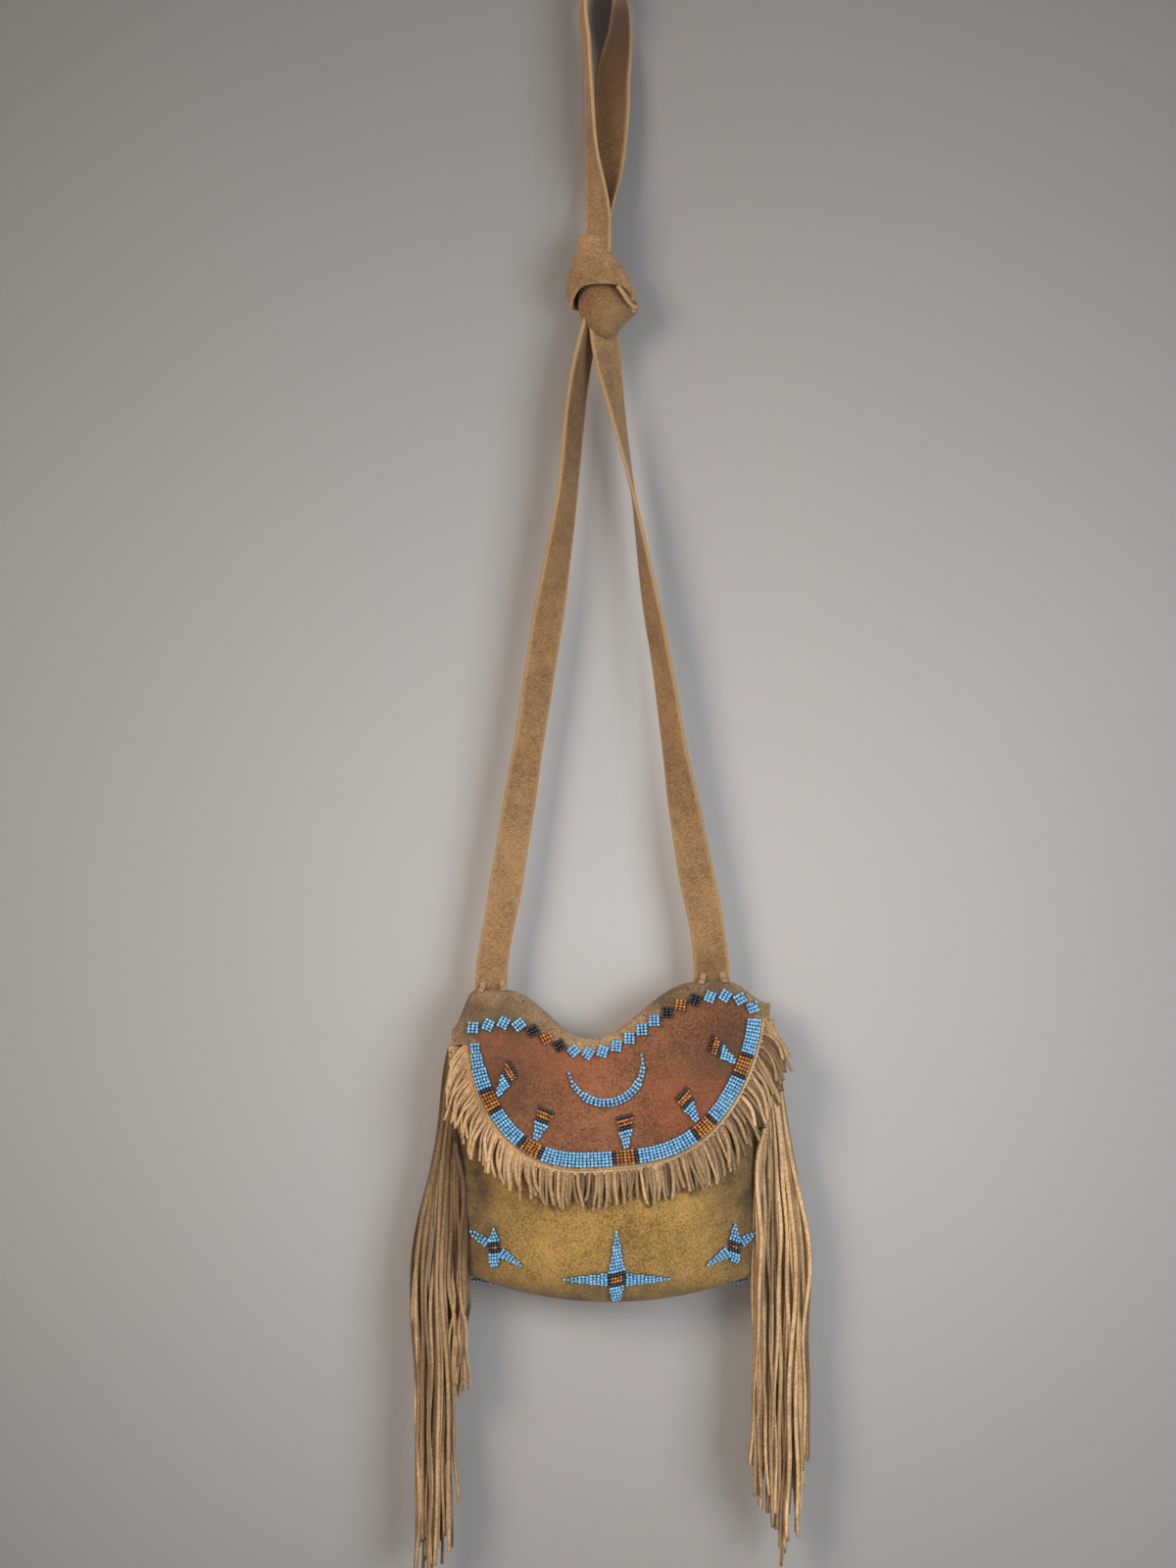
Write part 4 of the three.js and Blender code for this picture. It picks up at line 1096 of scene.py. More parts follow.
@dataclass
class Hides(SubAssembly):
    """The two hides of the pouch: the back with its flap, and the front."""

    columns: int = 170
    end_columns: tuple[int, int] = (12, 8)
    back_rows: int = 26
    roll_rows: int = 15
    flap_rows: int = 92
    upper_rows: int = 50
    under_rows: int = 60
    paint_top: tuple[float, float] = (2.0, 3.0)
    paint_border: tuple[float, float] = (4.5, 1.5)
    # Darker spots on the back and flap: hand soiling along the fold and by the diamonds, and darker patches
    # towards the flap's sides.
    flap_dark_spots: tuple[Spot, ...] = (
        (-62, -632, 16, 7, 0.95),
        (-84, -640, 7, 9, 0.6),
        (-38, -637, 14, 7, 0.6),
        (40, -623, 14, 6, 0.85),
        (68, -617, 20, 5, 0.65),
        (-62, -672, 18, 24, 0.8),
        (86, -662, 12, 26, 0.5),
        (24, -704, 40, 5, 0.25),
        (60, -652, 20, 12, 0.3),
        (-66, -618, 14, 8, 0.35),
        (62, -665, 15, 14, 0.4),
        (102, -628, 5, 8, 0.5),
    )
    front_shadow_and_soiling: tuple[Spot, ...] = (
        # Painted shadow: the two tall spots darken the front beside the side fringes, and the small one its
        # left side; the low band darkens the bottom, part soiling and part painted shade where the belly
        # turns under.
        (-80, -744, 14, 46, 1.2),
        (94, -738, 17, 46, 1.2),
        (-46, -757, 20, 14, 0.15),
        (10, -806, 90, 9, 0.9),
    )

    def shares(self) -> Array:
        """Shares of the half width, crowded towards the seams."""
        even = np.linspace(-1, 1, self.columns)
        return 0.6 * even + 0.4 * np.sin(np.pi / 2 * even)

    def apron_shares(self) -> Array:
        """Shares of the half width across the roll, crowded towards the apron's two sides.

        Returns:
            The shares, from left to right.
        """
        left, right = (1 - inset for inset in self.form.apron_insets)
        crowd = -np.cos(np.pi * np.linspace(0, 1, self.columns))
        apron = crowd * np.where(crowd < 0, left, right)
        left_end = np.linspace(-1, -left, self.end_columns[0])[:-1]
        right_end = np.linspace(right, 1, self.end_columns[1])[1:]
        return np.concatenate([left_end, apron, right_end])

    def rubbed_field(self, hang: Array) -> Array:
        """Where the flap is rubbed red: below the row of diamonds and inside the border lane.

        Args:
            hang: points of the flap.

        Returns:
            1 in the field and 0 outside it, with a short ramp between.
        """
        edge = self.form.edge_line(0).places[::4]
        x, z = hang[..., 0], hang[..., 2]
        inside = np.min(np.hypot(x[..., None] - edge[:, 0], z[..., None] - edge[:, 1]), axis=-1)
        below = self.form.diamond_z(x) - z
        over, top_ramp = self.paint_top
        inset, side_ramp = self.paint_border
        return np.clip((below + over) / top_ramp, 0, 1) * np.clip((inside - inset) / side_ramp, 0, 1)

    def back_and_flap(self) -> Piece:
        """One hide: up the back, half a turn round the roll, and down the flap to its edge.

        Returns:
            The piece. Its value paint is the rubbed field, and smudge the darker spots of hand soiling and
            patches towards the sides.
        """
        form = self.form
        s = self.apron_shares()[:, None]
        axis = form.axis_z(s)
        x = form.top_x(s)
        back_z = mix(form.seam_z(s), axis, np.linspace(0, 1, self.back_rows)[None, :-1])
        wrinkle = 0.5 * np.sin(back_z / 23 + 3 * s) + 0.4 * np.sin(9 * s + back_z / 50)
        back_y = form.back_y + wrinkle * smooth((axis - back_z) / 30) * (1 - np.abs(s) ** 4)
        back = together(form.bag_x + s * form.half_width(s, back_z), back_y, back_z)
        turn = np.pi * np.linspace(0, 1, self.roll_rows)[None, :-1]
        roll_y = form.back_y - form.fold_radius * (1 - np.cos(turn))
        roll = together(x, roll_y, axis + form.fold_radius * np.sin(turn))
        flap_z = mix(axis, form.flap_edge_z(s), np.linspace(0, 1, self.flap_rows)[None, :])
        hang = form.flap(x + 0 * flap_z, flap_z)
        middle = np.concatenate([back, roll, hang], axis=1)
        bare = np.zeros((len(s), back.shape[1] + roll.shape[1]))
        paint = np.concatenate([bare, self.rubbed_field(hang)], axis=1)
        smudge = np.clip(bump_at(middle[..., 0], middle[..., 2], self.flap_dark_spots), 0, 0.85)
        body = hide_shell(middle, form.hide, {"paint": paint, "smudge": smudge})
        return make_piece("hide_back_and_flap", body, [self.wardrobe.flap], ["back_and_flap"])

    def front_panel(self) -> Piece:
        """The front: down from the mouth over the belly and under to the bottom seam.

        Returns:
            The piece, rubbed all over, with painted shadow beside the side fringes and a darker bottom.
        """
        form = self.form
        s = self.shares()[:, None]
        mouth = form.axis_z(s) - form.mouth_drop - form.belly_z(s)
        upper = form.upper_point(s, mouth * np.linspace(1, 0, self.upper_rows)[None, :-1])
        under = form.under_point(s, form.under_curve(s)[3] * np.linspace(0, 1, self.under_rows)[None, :])
        depth, z = (np.concatenate(pair, axis=1) for pair in zip(upper, under))
        x = form.bag_x + s * form.half_width(s, z)
        slack = form.slack(x, z, form.front_waves, form.front_dents)
        slack = slack * (1 - np.abs(s) ** 6) * smooth((z - form.seam_z(s)) / 18)
        middle = together(x, form.back_y - depth - slack, z)
        smudge = np.clip(bump_at(x, z, self.front_shadow_and_soiling), 0, 1.1)
        body = hide_shell(middle, form.hide, {"paint": np.ones_like(x), "smudge": smudge})
        return make_piece("hide_front_panel", body, [self.wardrobe.front], ["front_panel"])


@dataclass
class FlapFringe(SubAssembly):
    """The strip behind the flap's edge, cut into short thongs that droop."""

    thongs: int = 150
    band: float = 3.0
    lap: float = 5.0
    length: float = 19.5
    side_longer: float = 0.35
    width: float = 2.35
    thickness: float = 1.7
    stations: int = 18
    over_side: float = 6.5
    root_inset: float = 1.0
    end_zone: float = 6.0
    band_columns: int = 220
    seed: int = 11

    @property
    def behind(self) -> float:
        """Height of the strip above the flap's middle, negative because it lies behind."""
        return -(self.form.hide / 2 + 2 * self.form.seat_gap + self.form.fringe_hide / 2)

    def band_sheet(self) -> Body:
        """The uncut band: a sheet along the flap's edge, from its lap to just outside the edge.

        Returns:
            The closed sheet.
        """
        share = np.linspace(0, 1, self.band_columns)
        rims = [self.form.edge_line(inward) for inward in (self.lap, self.root_inset, -self.band)]
        rows = [on_surface(self.form.flap, *rim.at(share * rim.length)[:2], self.behind)[0] for rim in rims]
        return hide_shell(np.stack(rows), self.form.fringe_hide)

    def headings(self, chance: np.random.Generator, outward: Array, at_end: Array, t: Array) -> Array:
        """Directions along the thongs: outward, drooping to straight down, with swing and wander.

        Args:
            chance: the fringe's random numbers.
            outward: unit direction away from the flap at each thong's root.
            at_end: how near each root is to an end of the edge.
            t: shares of the length.

        Returns:
            Unit directions in the front view, thongs by stations by 2.
        """
        leftward = np.clip(-outward[:, 0], 0, 1)
        turned = np.maximum(leftward, at_end)
        early = chance.uniform(0.22, 0.48, self.thongs) + 0.26 * turned
        late = chance.uniform(0.7, 0.92, self.thongs) + 0.1 * turned
        droop = mix(early[:, None], late[:, None], t**0.8)
        heading = outward[:, None] * (1 - droop[..., None]) + np.array([0.0, -1.0]) * droop[..., None]
        swing = 0.42 * np.sin(np.pi * leftward)[:, None] * t**0.6
        heading = unit(heading + np.array([1.0, 0.0]) * swing[..., None])
        sideways = together(-heading[..., 1], heading[..., 0])
        phase = chance.uniform(0, 6, self.thongs)[:, None]
        wander = chance.normal(0, 0.16, self.thongs)[:, None] * t + 0.16 * np.sin(6 * t + phase) * t
        return unit(heading + sideways * wander[..., None])

    def thong_strips(self) -> Body:
        """The thongs: strips in two loose layers over the flap that follow their headings.

        Returns:
            The strips. Those behind have more of the value shade, painted shade; those on the left have
            less, painted light.
        """
        chance = np.random.default_rng(self.seed)
        number = self.thongs
        rim = self.form.edge_line(self.root_inset - self.band)
        spot = (np.arange(number) + 0.5 + chance.uniform(-0.24, 0.24, number)) / number * rim.length
        a, b, ahead = rim.at(spot)
        outward = together(ahead[:, 1], -ahead[:, 0])
        leftward = np.clip(-outward[:, 0], 0, 1)
        length = self.length * (1 + 0.12 * chance.standard_normal(number).clip(-1.6, 1.6))
        length = length * (1 + self.side_longer * np.abs(outward[:, 0]))
        t = np.linspace(0, 1, self.stations)
        at_end = 0.7 * smooth(1 - np.minimum(spot, rim.length - spot) / self.end_zone)
        heading = self.headings(chance, outward, at_end, t)
        stride = (length / (self.stations - 1))[:, None, None]
        walked = np.cumsum(heading[:, :-1] * stride, axis=1)
        places = np.concatenate([np.zeros((number, 1, 2)), walked], axis=1)
        places = places + together(a, b)[:, None]
        layer = (np.arange(number) % 2 * 0.8 + chance.uniform(0.0, 1.6, number))[:, None]
        curl = chance.normal(0, 0.8, number)[:, None]
        lift = self.behind + layer * smooth(t * 2.2) + np.maximum(curl * t**2, -0.5 * layer)
        lift = lift + self.over_side * leftward[:, None] ** 2 * smooth(t * 1.6)
        path, normal = on_surface(self.form.flap, places[..., 0], places[..., 1], lift)
        across = np.cross(unit(np.gradient(path, axis=1)), normal)
        twist = chance.normal(0, 0.3, number)[:, None] * t
        across = across * np.cos(twist)[..., None] + normal * np.sin(twist)[..., None]
        uneven = 1 + 0.12 * chance.standard_normal(number).clip(-2, 2)
        width = self.width * uneven[:, None] * (1 - 0.1 * t)
        # Painted light: thongs on the left get less tint and less painted shade, lighter where the light
        # falls on them; rear layers get painted shade.
        less_on_lit_left = 1 - 0.95 * leftward
        tint = chance.uniform(0, 1, number) ** 0.7 * less_on_lit_left
        section = rounded_section(10, 0.72)
        thongs = strips(path, across, width, np.full_like(width, self.thickness), section, tint)
        rear = 1 - smooth(layer[:, 0] / 1.8)
        thongs.values["shade"] = np.repeat(rear**0.6 * less_on_lit_left, self.stations * len(section))
        return thongs

    def build(self) -> Piece:
        """The band and its thongs in one piece."""
        body = join_all([self.band_sheet(), self.thong_strips()])
        return make_piece("flap_fringe_thongs", body, [self.wardrobe.fringe], ["flap_fringe"])


@dataclass(frozen=True)
class FringeHangAndShade:
    """How far the thongs of one side hang, and their painted shade from top to tip: rear layers darker, and
    each side darker or lighter as the light falls on it.
    """

    tip_places: tuple[float, ...]
    tip_drops: tuple[float, ...]
    short_columns: int
    tint_power: float
    shade: float
    shade_power: float
    fade_top: float
    fade_run: float
    top_darkening: float


# Painted light: the left's thongs are tinted and shaded darker, most at the top, and the right's lighter at
# the top, as the light falls on each side.
FRINGE_HANG_AND_SHADE = {
    Side.LEFT: FringeHangAndShade(
        tip_places=(0.0, 0.3, 0.5, 1.0),
        tip_drops=(140.0, 140.0, 160.0, 164.0),
        short_columns=4,
        tint_power=0.5,
        shade=1.05,
        shade_power=0.8,
        fade_top=1.3,
        fade_run=-0.75,
        top_darkening=0.42,
    ),
    Side.RIGHT: FringeHangAndShade(
        tip_places=(0.0, 0.25, 0.55, 0.8, 1.0),
        tip_drops=(122.0, 128.0, 160.0, 140.0, 104.0),
        short_columns=0,
        tint_power=2.5,
        shade=0.5,
        shade_power=1.4,
        fade_top=0.15,
        fade_run=0.85,
        top_darkening=0.0,
    ),
}


@dataclass
class SideFringe(SubAssembly):
    """The strip in a side seam, cut into long thongs that hang in layers."""

    side: Side
    layers: int = 4
    columns: int = 13
    lap: float = 5.0
    band: float = 2.5
    strip_top: float = 6.0
    strip_height: float = 82.0
    root_height: float = 50.0
    width: float = 3.1
    thickness: float = 1.9
    pitch: float = 2.6
    layer_pitch: float = 2.5
    over_front: float = 8.8
    fan_length: float = 135.0
    stations: int = 56
    strip_rows: int = 40
    first_gap: float = 0.9
    front_zone: float = 6.0
    knot_marks: tuple[float, ...] = (0.0, 0.02, 0.18, 0.42, 0.7, 1.0)
    seed: int = 23

    @property
    def wear(self) -> FringeHangAndShade:
        """Lengths and painted shade of this side."""
        return FRINGE_HANG_AND_SHADE[self.side]

    @property
    def strip_y(self) -> float:
        """Depth of the middle of the strip."""
        return self.form.back_y - self.form.hide / 2 - self.form.seat_gap - self.form.fringe_hide / 2

    @property
    def top(self) -> float:
        """Level of the strip's upper end."""
        return float(self.form.axis_z(np.array([float(self.side.value)]))[0]) - self.strip_top

    def seam_half(self, z: Array) -> Array:
        """Half width of the pouch at the seam."""
        return self.form.half_width(np.full_like(z, float(self.side.value)), z)

    def strip_sheet(self) -> Body:
        """The sewn strip: a narrow sheet that follows the seam down.

        Returns:
            The sheet, from its lap inside the seam to the band outside it.
        """
        z = self.top - np.linspace(0, self.strip_height, self.strip_rows)
        reach = [self.seam_half(z) + out for out in (-self.lap, 0.0, self.band)]
        rows = [together(self.form.bag_x + self.side.value * x, self.strip_y, z) for x in reach]
        return hide_shell(np.stack(rows), self.form.fringe_hide)

    def knots(self, chance: np.random.Generator, layer: Array, column: Array) -> Array:
        """Six points of each thong: out of the strip, over, down to where the fan ends, and to its tip.

        Args:
            chance: the fringe's random numbers.
            layer: of each thong, from the back.
            column: of each thong, from the seam outwards.

        Returns:
            Points, thongs by knots by 3.
        """
        form, number = self.form, len(column)
        root = self.top - (np.arange(number) + 0.5) * (self.root_height / number)
        hang_out = self.first_gap + column * self.pitch + chance.normal(0, 0.9, number)
        before = np.clip(1 - hang_out / self.front_zone, 0, 1)
        hang_y = self.strip_y + (self.layers - 1 - layer) * self.layer_pitch * (1 - before)
        hang_y = hang_y + 0.25 * (column - 2) + chance.normal(0, 0.4, number)
        share_out = column / (self.columns - 1)
        below = np.interp(share_out, self.wear.tip_places, self.wear.tip_drops)
        tip = form.bottom_z - below + chance.uniform(-8, 24, number)
        short_tip = form.bottom_z - chance.uniform(42, 62, number)
        tip = np.where(column < self.wear.short_columns, short_tip, tip)
        sway = chance.normal(0, 1.6, (number, 2))
        fan_end = self.top - self.fan_length
        heights = [root, root - 6.0, mix(root, fan_end, 0.4), np.full(number, fan_end)]
        heights += [mix(fan_end, tip, share) for share in (0.5, 1.0)]
        hang_x = form.bottom_half + hang_out
        root_x = self.seam_half(root) + self.band - 1.0
        reach = [root_x, mix(root_x, hang_x, 0.08), mix(root_x, hang_x, 0.36 + 0.5 * (1 - share_out))]
        reach += [hang_x + sway[:, 0], hang_x + sway[:, 1], hang_x - sway[:, 0]]
        in_front = self.over_front * before
        leaving = mix(self.strip_y, hang_y, 0.7) - 0.7 * in_front
        depths = [np.full(number, self.strip_y), leaving, hang_y - in_front]
        depths += [hang_y - share * in_front + chance.normal(0, 0.8, number) for share in (1.0, 0.5, 0.4)]
        x = form.bag_x + self.side.value * np.stack(reach, axis=1)
        return together(x, np.stack(depths, axis=1), np.stack(heights, axis=1))

    def thong_strips(self) -> Body:
        """The thongs: strips on cubic curves through their knots, with slow sine waves and turns.

        Returns:
            The strips. Their values tint and shade, painted shade that differs by side, change from the
            roots to the tips.
        """
        chance = np.random.default_rng(self.seed + self.side.value)
        number = self.layers * self.columns
        index = np.arange(number)
        layer = index % self.layers
        knots = self.knots(chance, layer, self.columns - 1 - index // self.layers)
        marks = np.broadcast_to(np.array(self.knot_marks)[:, None], (*knots.shape[:2], 1))
        t = np.linspace(0, 1, self.stations) ** 1.15
        path = curve_through(np.concatenate([marks, knots], axis=-1), t)
        phase = chance.uniform(0, 2 * np.pi, (number, 2))
        wave = chance.uniform(0.3, 0.9, number)[:, None] * smooth((t - 0.1) / 0.3)
        ripple = chance.uniform(16, 30, number)[:, None] * t
        path[..., 0] += wave * np.sin(ripple + phase[:, :1])
        path[..., 1] += 0.8 * wave * np.sin(0.8 * ripple + phase[:, 1:])
        tangent = unit(np.gradient(path, axis=1))
        flat = np.cross(tangent, np.array([0.0, 1.0, 0.0]))
        turn = chance.normal(0, 0.5, number)[:, None] + 0.5 * np.sin(0.35 * ripple + phase[:, :1])
        turn = turn * smooth(t / 0.05)
        across = flat * np.cos(turn)[..., None] + np.cross(tangent, flat) * np.sin(turn)[..., None]
        width = self.width * (1 + 0.1 * chance.standard_normal(number))[:, None] * (1 - 0.26 * t)
        tint = chance.uniform(0, 1, number) ** self.wear.tint_power
        section = rounded_section(8, 0.6)
        thongs = strips(path, across, width, np.full_like(width, self.thickness), section, tint)
        # Painted shade: rear layers darken, fade changes it from top to tip by side, and top_darkening
        # darkens the upper part further.
        rear = (self.layers - 1 - layer) / (self.layers - 1)
        depth = np.repeat(self.wear.shade * rear**self.wear.shade_power, self.stations * len(section))
        down = thongs.values["down"]
        fade = self.wear.fade_top + self.wear.fade_run * down
        top_darkening = self.wear.top_darkening * (1 - smooth(down / 0.75))
        thongs.values["shade"] = np.clip(depth * fade + top_darkening, 0, 1.1)
        thongs.values["tint"] = thongs.values["tint"] * fade
        return thongs

    def build(self) -> Piece:
        """The strip and its thongs in one piece.

        Returns:
            The piece.
        """
        name = f"{self.side.name.lower()}_side_fringe"
        body = join_all([self.strip_sheet(), self.thong_strips()])
        return make_piece(f"{name}_thongs", body, [self.wardrobe.fringe], [name])


@dataclass
class Strap(SubAssembly):
    """The shoulder strap: two runs, the knot and the hanging loop, all of one strip."""

    width: float = 19.5
    thickness: float = 2.6
    tail: float = 24.0
    loop_widen: float = 2.0
    cup: float = 1.2
    run_stations: int = 150
    loop_stations: int = 200
    dark_band_place: float = 0.925
    dark_band_spread: float = 0.022

    @staticmethod
    def route(rows: list[Station], stations: int) -> tuple[Array, Array, Array]:
        """Cubic curve through stations, read at even distances along them.

        Args:
            rows: level, place across, place in depth and turn in degrees at each station.
            stations: how many places to read.

        Returns:
            Distances, points and turns in radians.
        """
        table = np.array(rows)
        gaps = np.linalg.norm(np.diff(table[:, :3], axis=0), axis=-1)
        marks = np.concatenate([[0.0], np.cumsum(gaps)])
        distance = np.linspace(0, marks[-1], stations)
        level, x, y, turn = curve_through(np.concatenate([marks[:, None], table], axis=1), distance).T
        return distance, together(x, y, level), np.radians(turn)

    def strip(self, path: Array, across: Array, width: Array, section: Array) -> Body:
        """One strip of the strap's own thickness along a path."""
        thick = np.full((1, len(path)), self.thickness)
        return strips(path[None], across[None], width[None], thick, section, np.zeros(1))

    def ribbon(self, rows: list[Station], flare: float, upper_darkening: float) -> Body:
        """A run of the strap, its width pointing to +Y at a turn of 0 and to +X at 90.

        Args:
            rows: the stations from top to bottom.
            flare: share by which the strip is wider at its lower end.
            upper_darkening: how much darker it is at its upper end.

        Returns:
            The strip, with a darker band near its lower end.
        """
        distance, path, turn = self.route(rows, self.run_stations)
        across = together(np.sin(turn), np.cos(turn), 0.0)
        wobble = 1 + 0.025 * np.sin(distance / 23) + 0.015 * np.sin(distance / 9.0)
        share = np.linspace(0, 1, self.run_stations)
        width = self.width * wobble * (1 + flare * smooth((share - 0.5) / 0.45))
        body = self.strip(path, across, width, rounded_section(20, 0.35))
        down = body.values["down"]
        # Darker towards the upper end, and in a band near the lower end.
        crease = np.exp(-(((down - self.dark_band_place) / self.dark_band_spread) ** 2))
        shade = upper_darkening * (1 - smooth(down / 0.8)) + 3 * flare * crease
        body.values["shade"] = shade * (1 - body.values["edge"])
        return body

    def runs(self) -> list[Body]:
        """Left and right run, from the knot to the tail behind the fold.

        Returns:
            Both strips.
        """
        form = self.form
        tail_y = form.back_y + form.hide / 2 + form.seat_gap + self.thickness / 2
        left_x, right_x = (float(form.top_x(place)) for place in form.strap_places)
        left_base, right_base = form.crest_z(np.array([left_x, right_x])).tolist()
        left = [
            (-206, -5.5, 3.2, 24),
            (-237, -12, 1, 32),
            (-317, -21, 1.2, 40),
            (-397, -33.3, 2.6, 68),
            (-478, -45.9, 4, 72),
            (-558, -58.8, 5.4, 84),
            (left_base + 9, left_x, tail_y, 88.0),
            (left_base - self.tail, left_x, tail_y, 90.0),
        ]
        right = [
            (-206, 1.5, 1, 66),
            (-222, 2.9, 0, 60),
            (-263, 9.8, 0.6, 29),
            (-317, 20.4, 1.4, 0),
            (-371, 29.1, 2.4, -24),
            (-424, 38.4, 3.2, -36),
            (-478, 46.5, 4.2, -50),
            (-532, 55.8, 5, -74),
            (right_base + 9, right_x, tail_y, -88.0),
            (right_base - self.tail, right_x, tail_y, -90.0),
        ]
        return [self.ribbon(left, 0.02, 0.6), self.ribbon(right, 0.14, 0.25)]

    def loop(self) -> Body:
        """The hanging loop: up edge-on, over its top and down again, broad side to the front.

        Its width is turned from +Y about the path, and its section is cupped as a parabola.

        Returns:
            The strip. On the way down its other face shows, with painted shade, and its shaded rim loses its
            pale edge.
        """
        top = self.thickness / 2
        rows = [
            (-168, -1.6, -4, 48),
            (-147, -0.8, -4.6, 42),
            (-103, -5, -4, 16),
            (-71, -6.3, -2.8, 9),
            (-41, -7.8, -1.6, 7.5),
            (-8, -8.6, -0.4, 6),
            (-1.6, -5.6, 0, 2),
            (top, 0.0, 0.0, 0.0),
            (-1.6, 6.6, 0.3, 8),
            (-11, 10.9, 0.6, 22),
            (-24, 11.5, 1.3, 33),
            (-39, 10.2, 2, 46),
            (-47, 8.9, 2.7, 60),
            (-55, 7.7, 3.4, 74),
            (-79, 6.9, 4, 86),
            (-104, 4.7, 4, 95),
            (-117, 3, 4, 104),
            (-133, 0.6, 4, 126),
            (-148.5, -0.8, 4, 138),
            (-168, -1.6, 4, 140),
        ]
        _, path, turn = self.route(rows, self.loop_stations)
        tangent = unit(np.gradient(path, axis=0))
        level = unit(np.array([0.0, 1.0, 0.0]) - tangent[:, 1:2] * tangent)
        upright = np.cross(tangent, level)
        across = level * np.cos(turn)[:, None] + upright * np.sin(turn)[:, None]
        width = np.full(len(path), self.width + self.loop_widen)
        section = rounded_section(40, 0.35)
        section[:, 1] += self.cup * (section[:, 0] ** 2 - 0.4)
        body = self.strip(path, across, width, section)
        down = body.values["down"]
        # Painted shade: the face that shows on the way down darkens, less towards its foot, and the rim on
        # its shaded side keeps no pale edge.
        falling = smooth((down - 0.5) / 0.08)
        inner_rim = np.tile(section[:, 0] < 0, len(path))
        body.values["edge"] = body.values["edge"] * (1 - 0.9 * falling * inner_rim)
        inside = 1.15 * falling * (1 - 0.55 * smooth((down - 0.62) / 0.3))
        body.values["shade"] = inside * (1 - body.values["edge"])
        return body

    def bulb(self) -> Body:
        """Lower turn of the knot: rings whose half width and half depth follow the level.

        Each row is a share down, the level, the middle, the half width and the half depth.

        Returns:
            The closed turn, with painted shade all over it.
        """
        rows = np.array([
            [0, -178, -0.5, 9, 7],
            [0.12, -186, 0.5, 13, 10.5],
            [0.3, -194, 2.2, 15.4, 12.8],
            [0.45, -200, 3.2, 16.2, 13.2],
            [0.62, -207, 2.6, 14, 12.4],
            [0.8, -213, 2.4, 10, 10.2],
            [0.92, -217.4, 3.2, 6.2, 7.6],
            [1, -219.8, 4.2, 2, 2.6],
        ])
        share = np.linspace(0, 1, 44)
        z, centre, wide, deep = curve_through(rows, share).T
        angle = 2 * np.pi * np.arange(56) / 56
        ring_x = np.sign(np.cos(angle)) * np.abs(np.cos(angle)) ** 0.85
        pull = 0.06 * np.sin(3 * angle + 0.8)[None] * np.sin(np.pi * share)[:, None]
        x = centre[:, None] + wide[:, None] * (ring_x + pull)
        y = deep[:, None] * np.sin(angle)[None] * (1 + pull)
        tip = bump_at(x, z[:, None], [(18, -200, 6, 5, 3.6)])
        points = together(x + tip, y, z[:, None])
        at = np.arange(x.size).reshape(x.shape)
        downward = ring_quads(at)[:, [0, 3, 2, 1]]
        caps = np.stack([at[0], at[-1, ::-1]])
        # Painted shade: the lower turn sits under the wrap, so it is darkened by half.
        return Body(points.reshape(-1, 3), [downward, caps], {"shade": np.full(x.size, 0.5)})

    def wrap(self, marks: list[tuple[float, float]], top: float) -> Body:
        """Upper turn of the knot: a flared wrap of strap whose front edge is cut into an arch.

        The wrap is a grid of an angle round the knot, from the front over the right, and a share
        down it. Its half width, half depth and lean follow the share. Its lower edge is highest in
        front and lowest at the back.

        Args:
            marks: angles in degrees, each with the share of the full radius there.
            top: share down at which the wrap begins.

        Returns:
            The wrap.
        """
        table = np.array(marks)
        degrees = np.linspace(table[0, 0], table[-1, 0], 130)
        angle = np.radians(degrees)[:, None]
        over = curve_through(table, degrees)
        share = np.linspace(top, 1, 40)
        profile = np.array([
            [0, 8.8, 6.6, -4.4],
            [0.12, 9.2, 7.8, -4.2],
            [0.24, 10.4, 9.4, -3.8],
            [0.4, 13.8, 12, -3],
            [0.58, 17.2, 14.2, -2],
            [0.86, 20, 15.6, 0.2],
            [1, 20, 15.6, 0.6],
        ])
        wide, deep, aside = curve_through(profile, share).T
        front = np.cos(angle)
        low = -200.0 + 13.0 * smooth((front - 0.1) / 0.9)
        z = -158.0 + (low + 158.0) * share
        tuck = 1 - 0.12 * smooth((share - 0.82) / 0.18) * smooth(0.6 - front)
        crease = 1 + 0.05 * np.sin(55 * share) * np.exp(-share / 0.08)
        x = aside + wide * np.sin(angle) * tuck * over * crease
        y = -deep * front * tuck * over * crease
        body = hide_shell(together(x, y, z), self.thickness)
        body.values["edge"] = 0.25 * body.values["edge"]
        return body

    def hood(self) -> list[Body]:
        """The wrap that shows in front, and the end of the turn under it on the right."""
        over = self.wrap([(-200.0, 0.93), (-90.0, 1.0), (0.0, 1.02), (58.0, 1.05)], 0.0)
        return [over, self.wrap([(20.0, 0.86), (60.0, 0.95), (90.0, 1.03), (170.0, 1.02)], 0.1)]

    def knot_edge(self) -> Body:
        """The cut edge of the turn that comes round the right of the knot.

        Returns:
            The strip.
        """
        rows = np.array([
            [0, 10.2, -14.8, -189],
            [0.3, 13.6, -13.6, -193.5],
            [0.6, 17.4, -10.6, -198.6],
            [0.85, 20.6, -5, -200.6],
            [1, 21.2, 2, -198],
        ])
        path = curve_through(rows, np.linspace(0, 1, 40))
        across = np.broadcast_to(np.array([0.3, 0.9, -0.2]), path.shape)
        return self.strip(path, across, np.full(len(path), 7.0), rounded_section(14, 0.4))

    def build(self) -> Piece:
        """The whole strap in one piece."""
        body = join_all([*self.runs(), self.loop(), *self.hood(), self.bulb(), self.knot_edge()])
        return make_piece("strap_with_knot", body, [self.wardrobe.strap], ["shoulder_strap"])


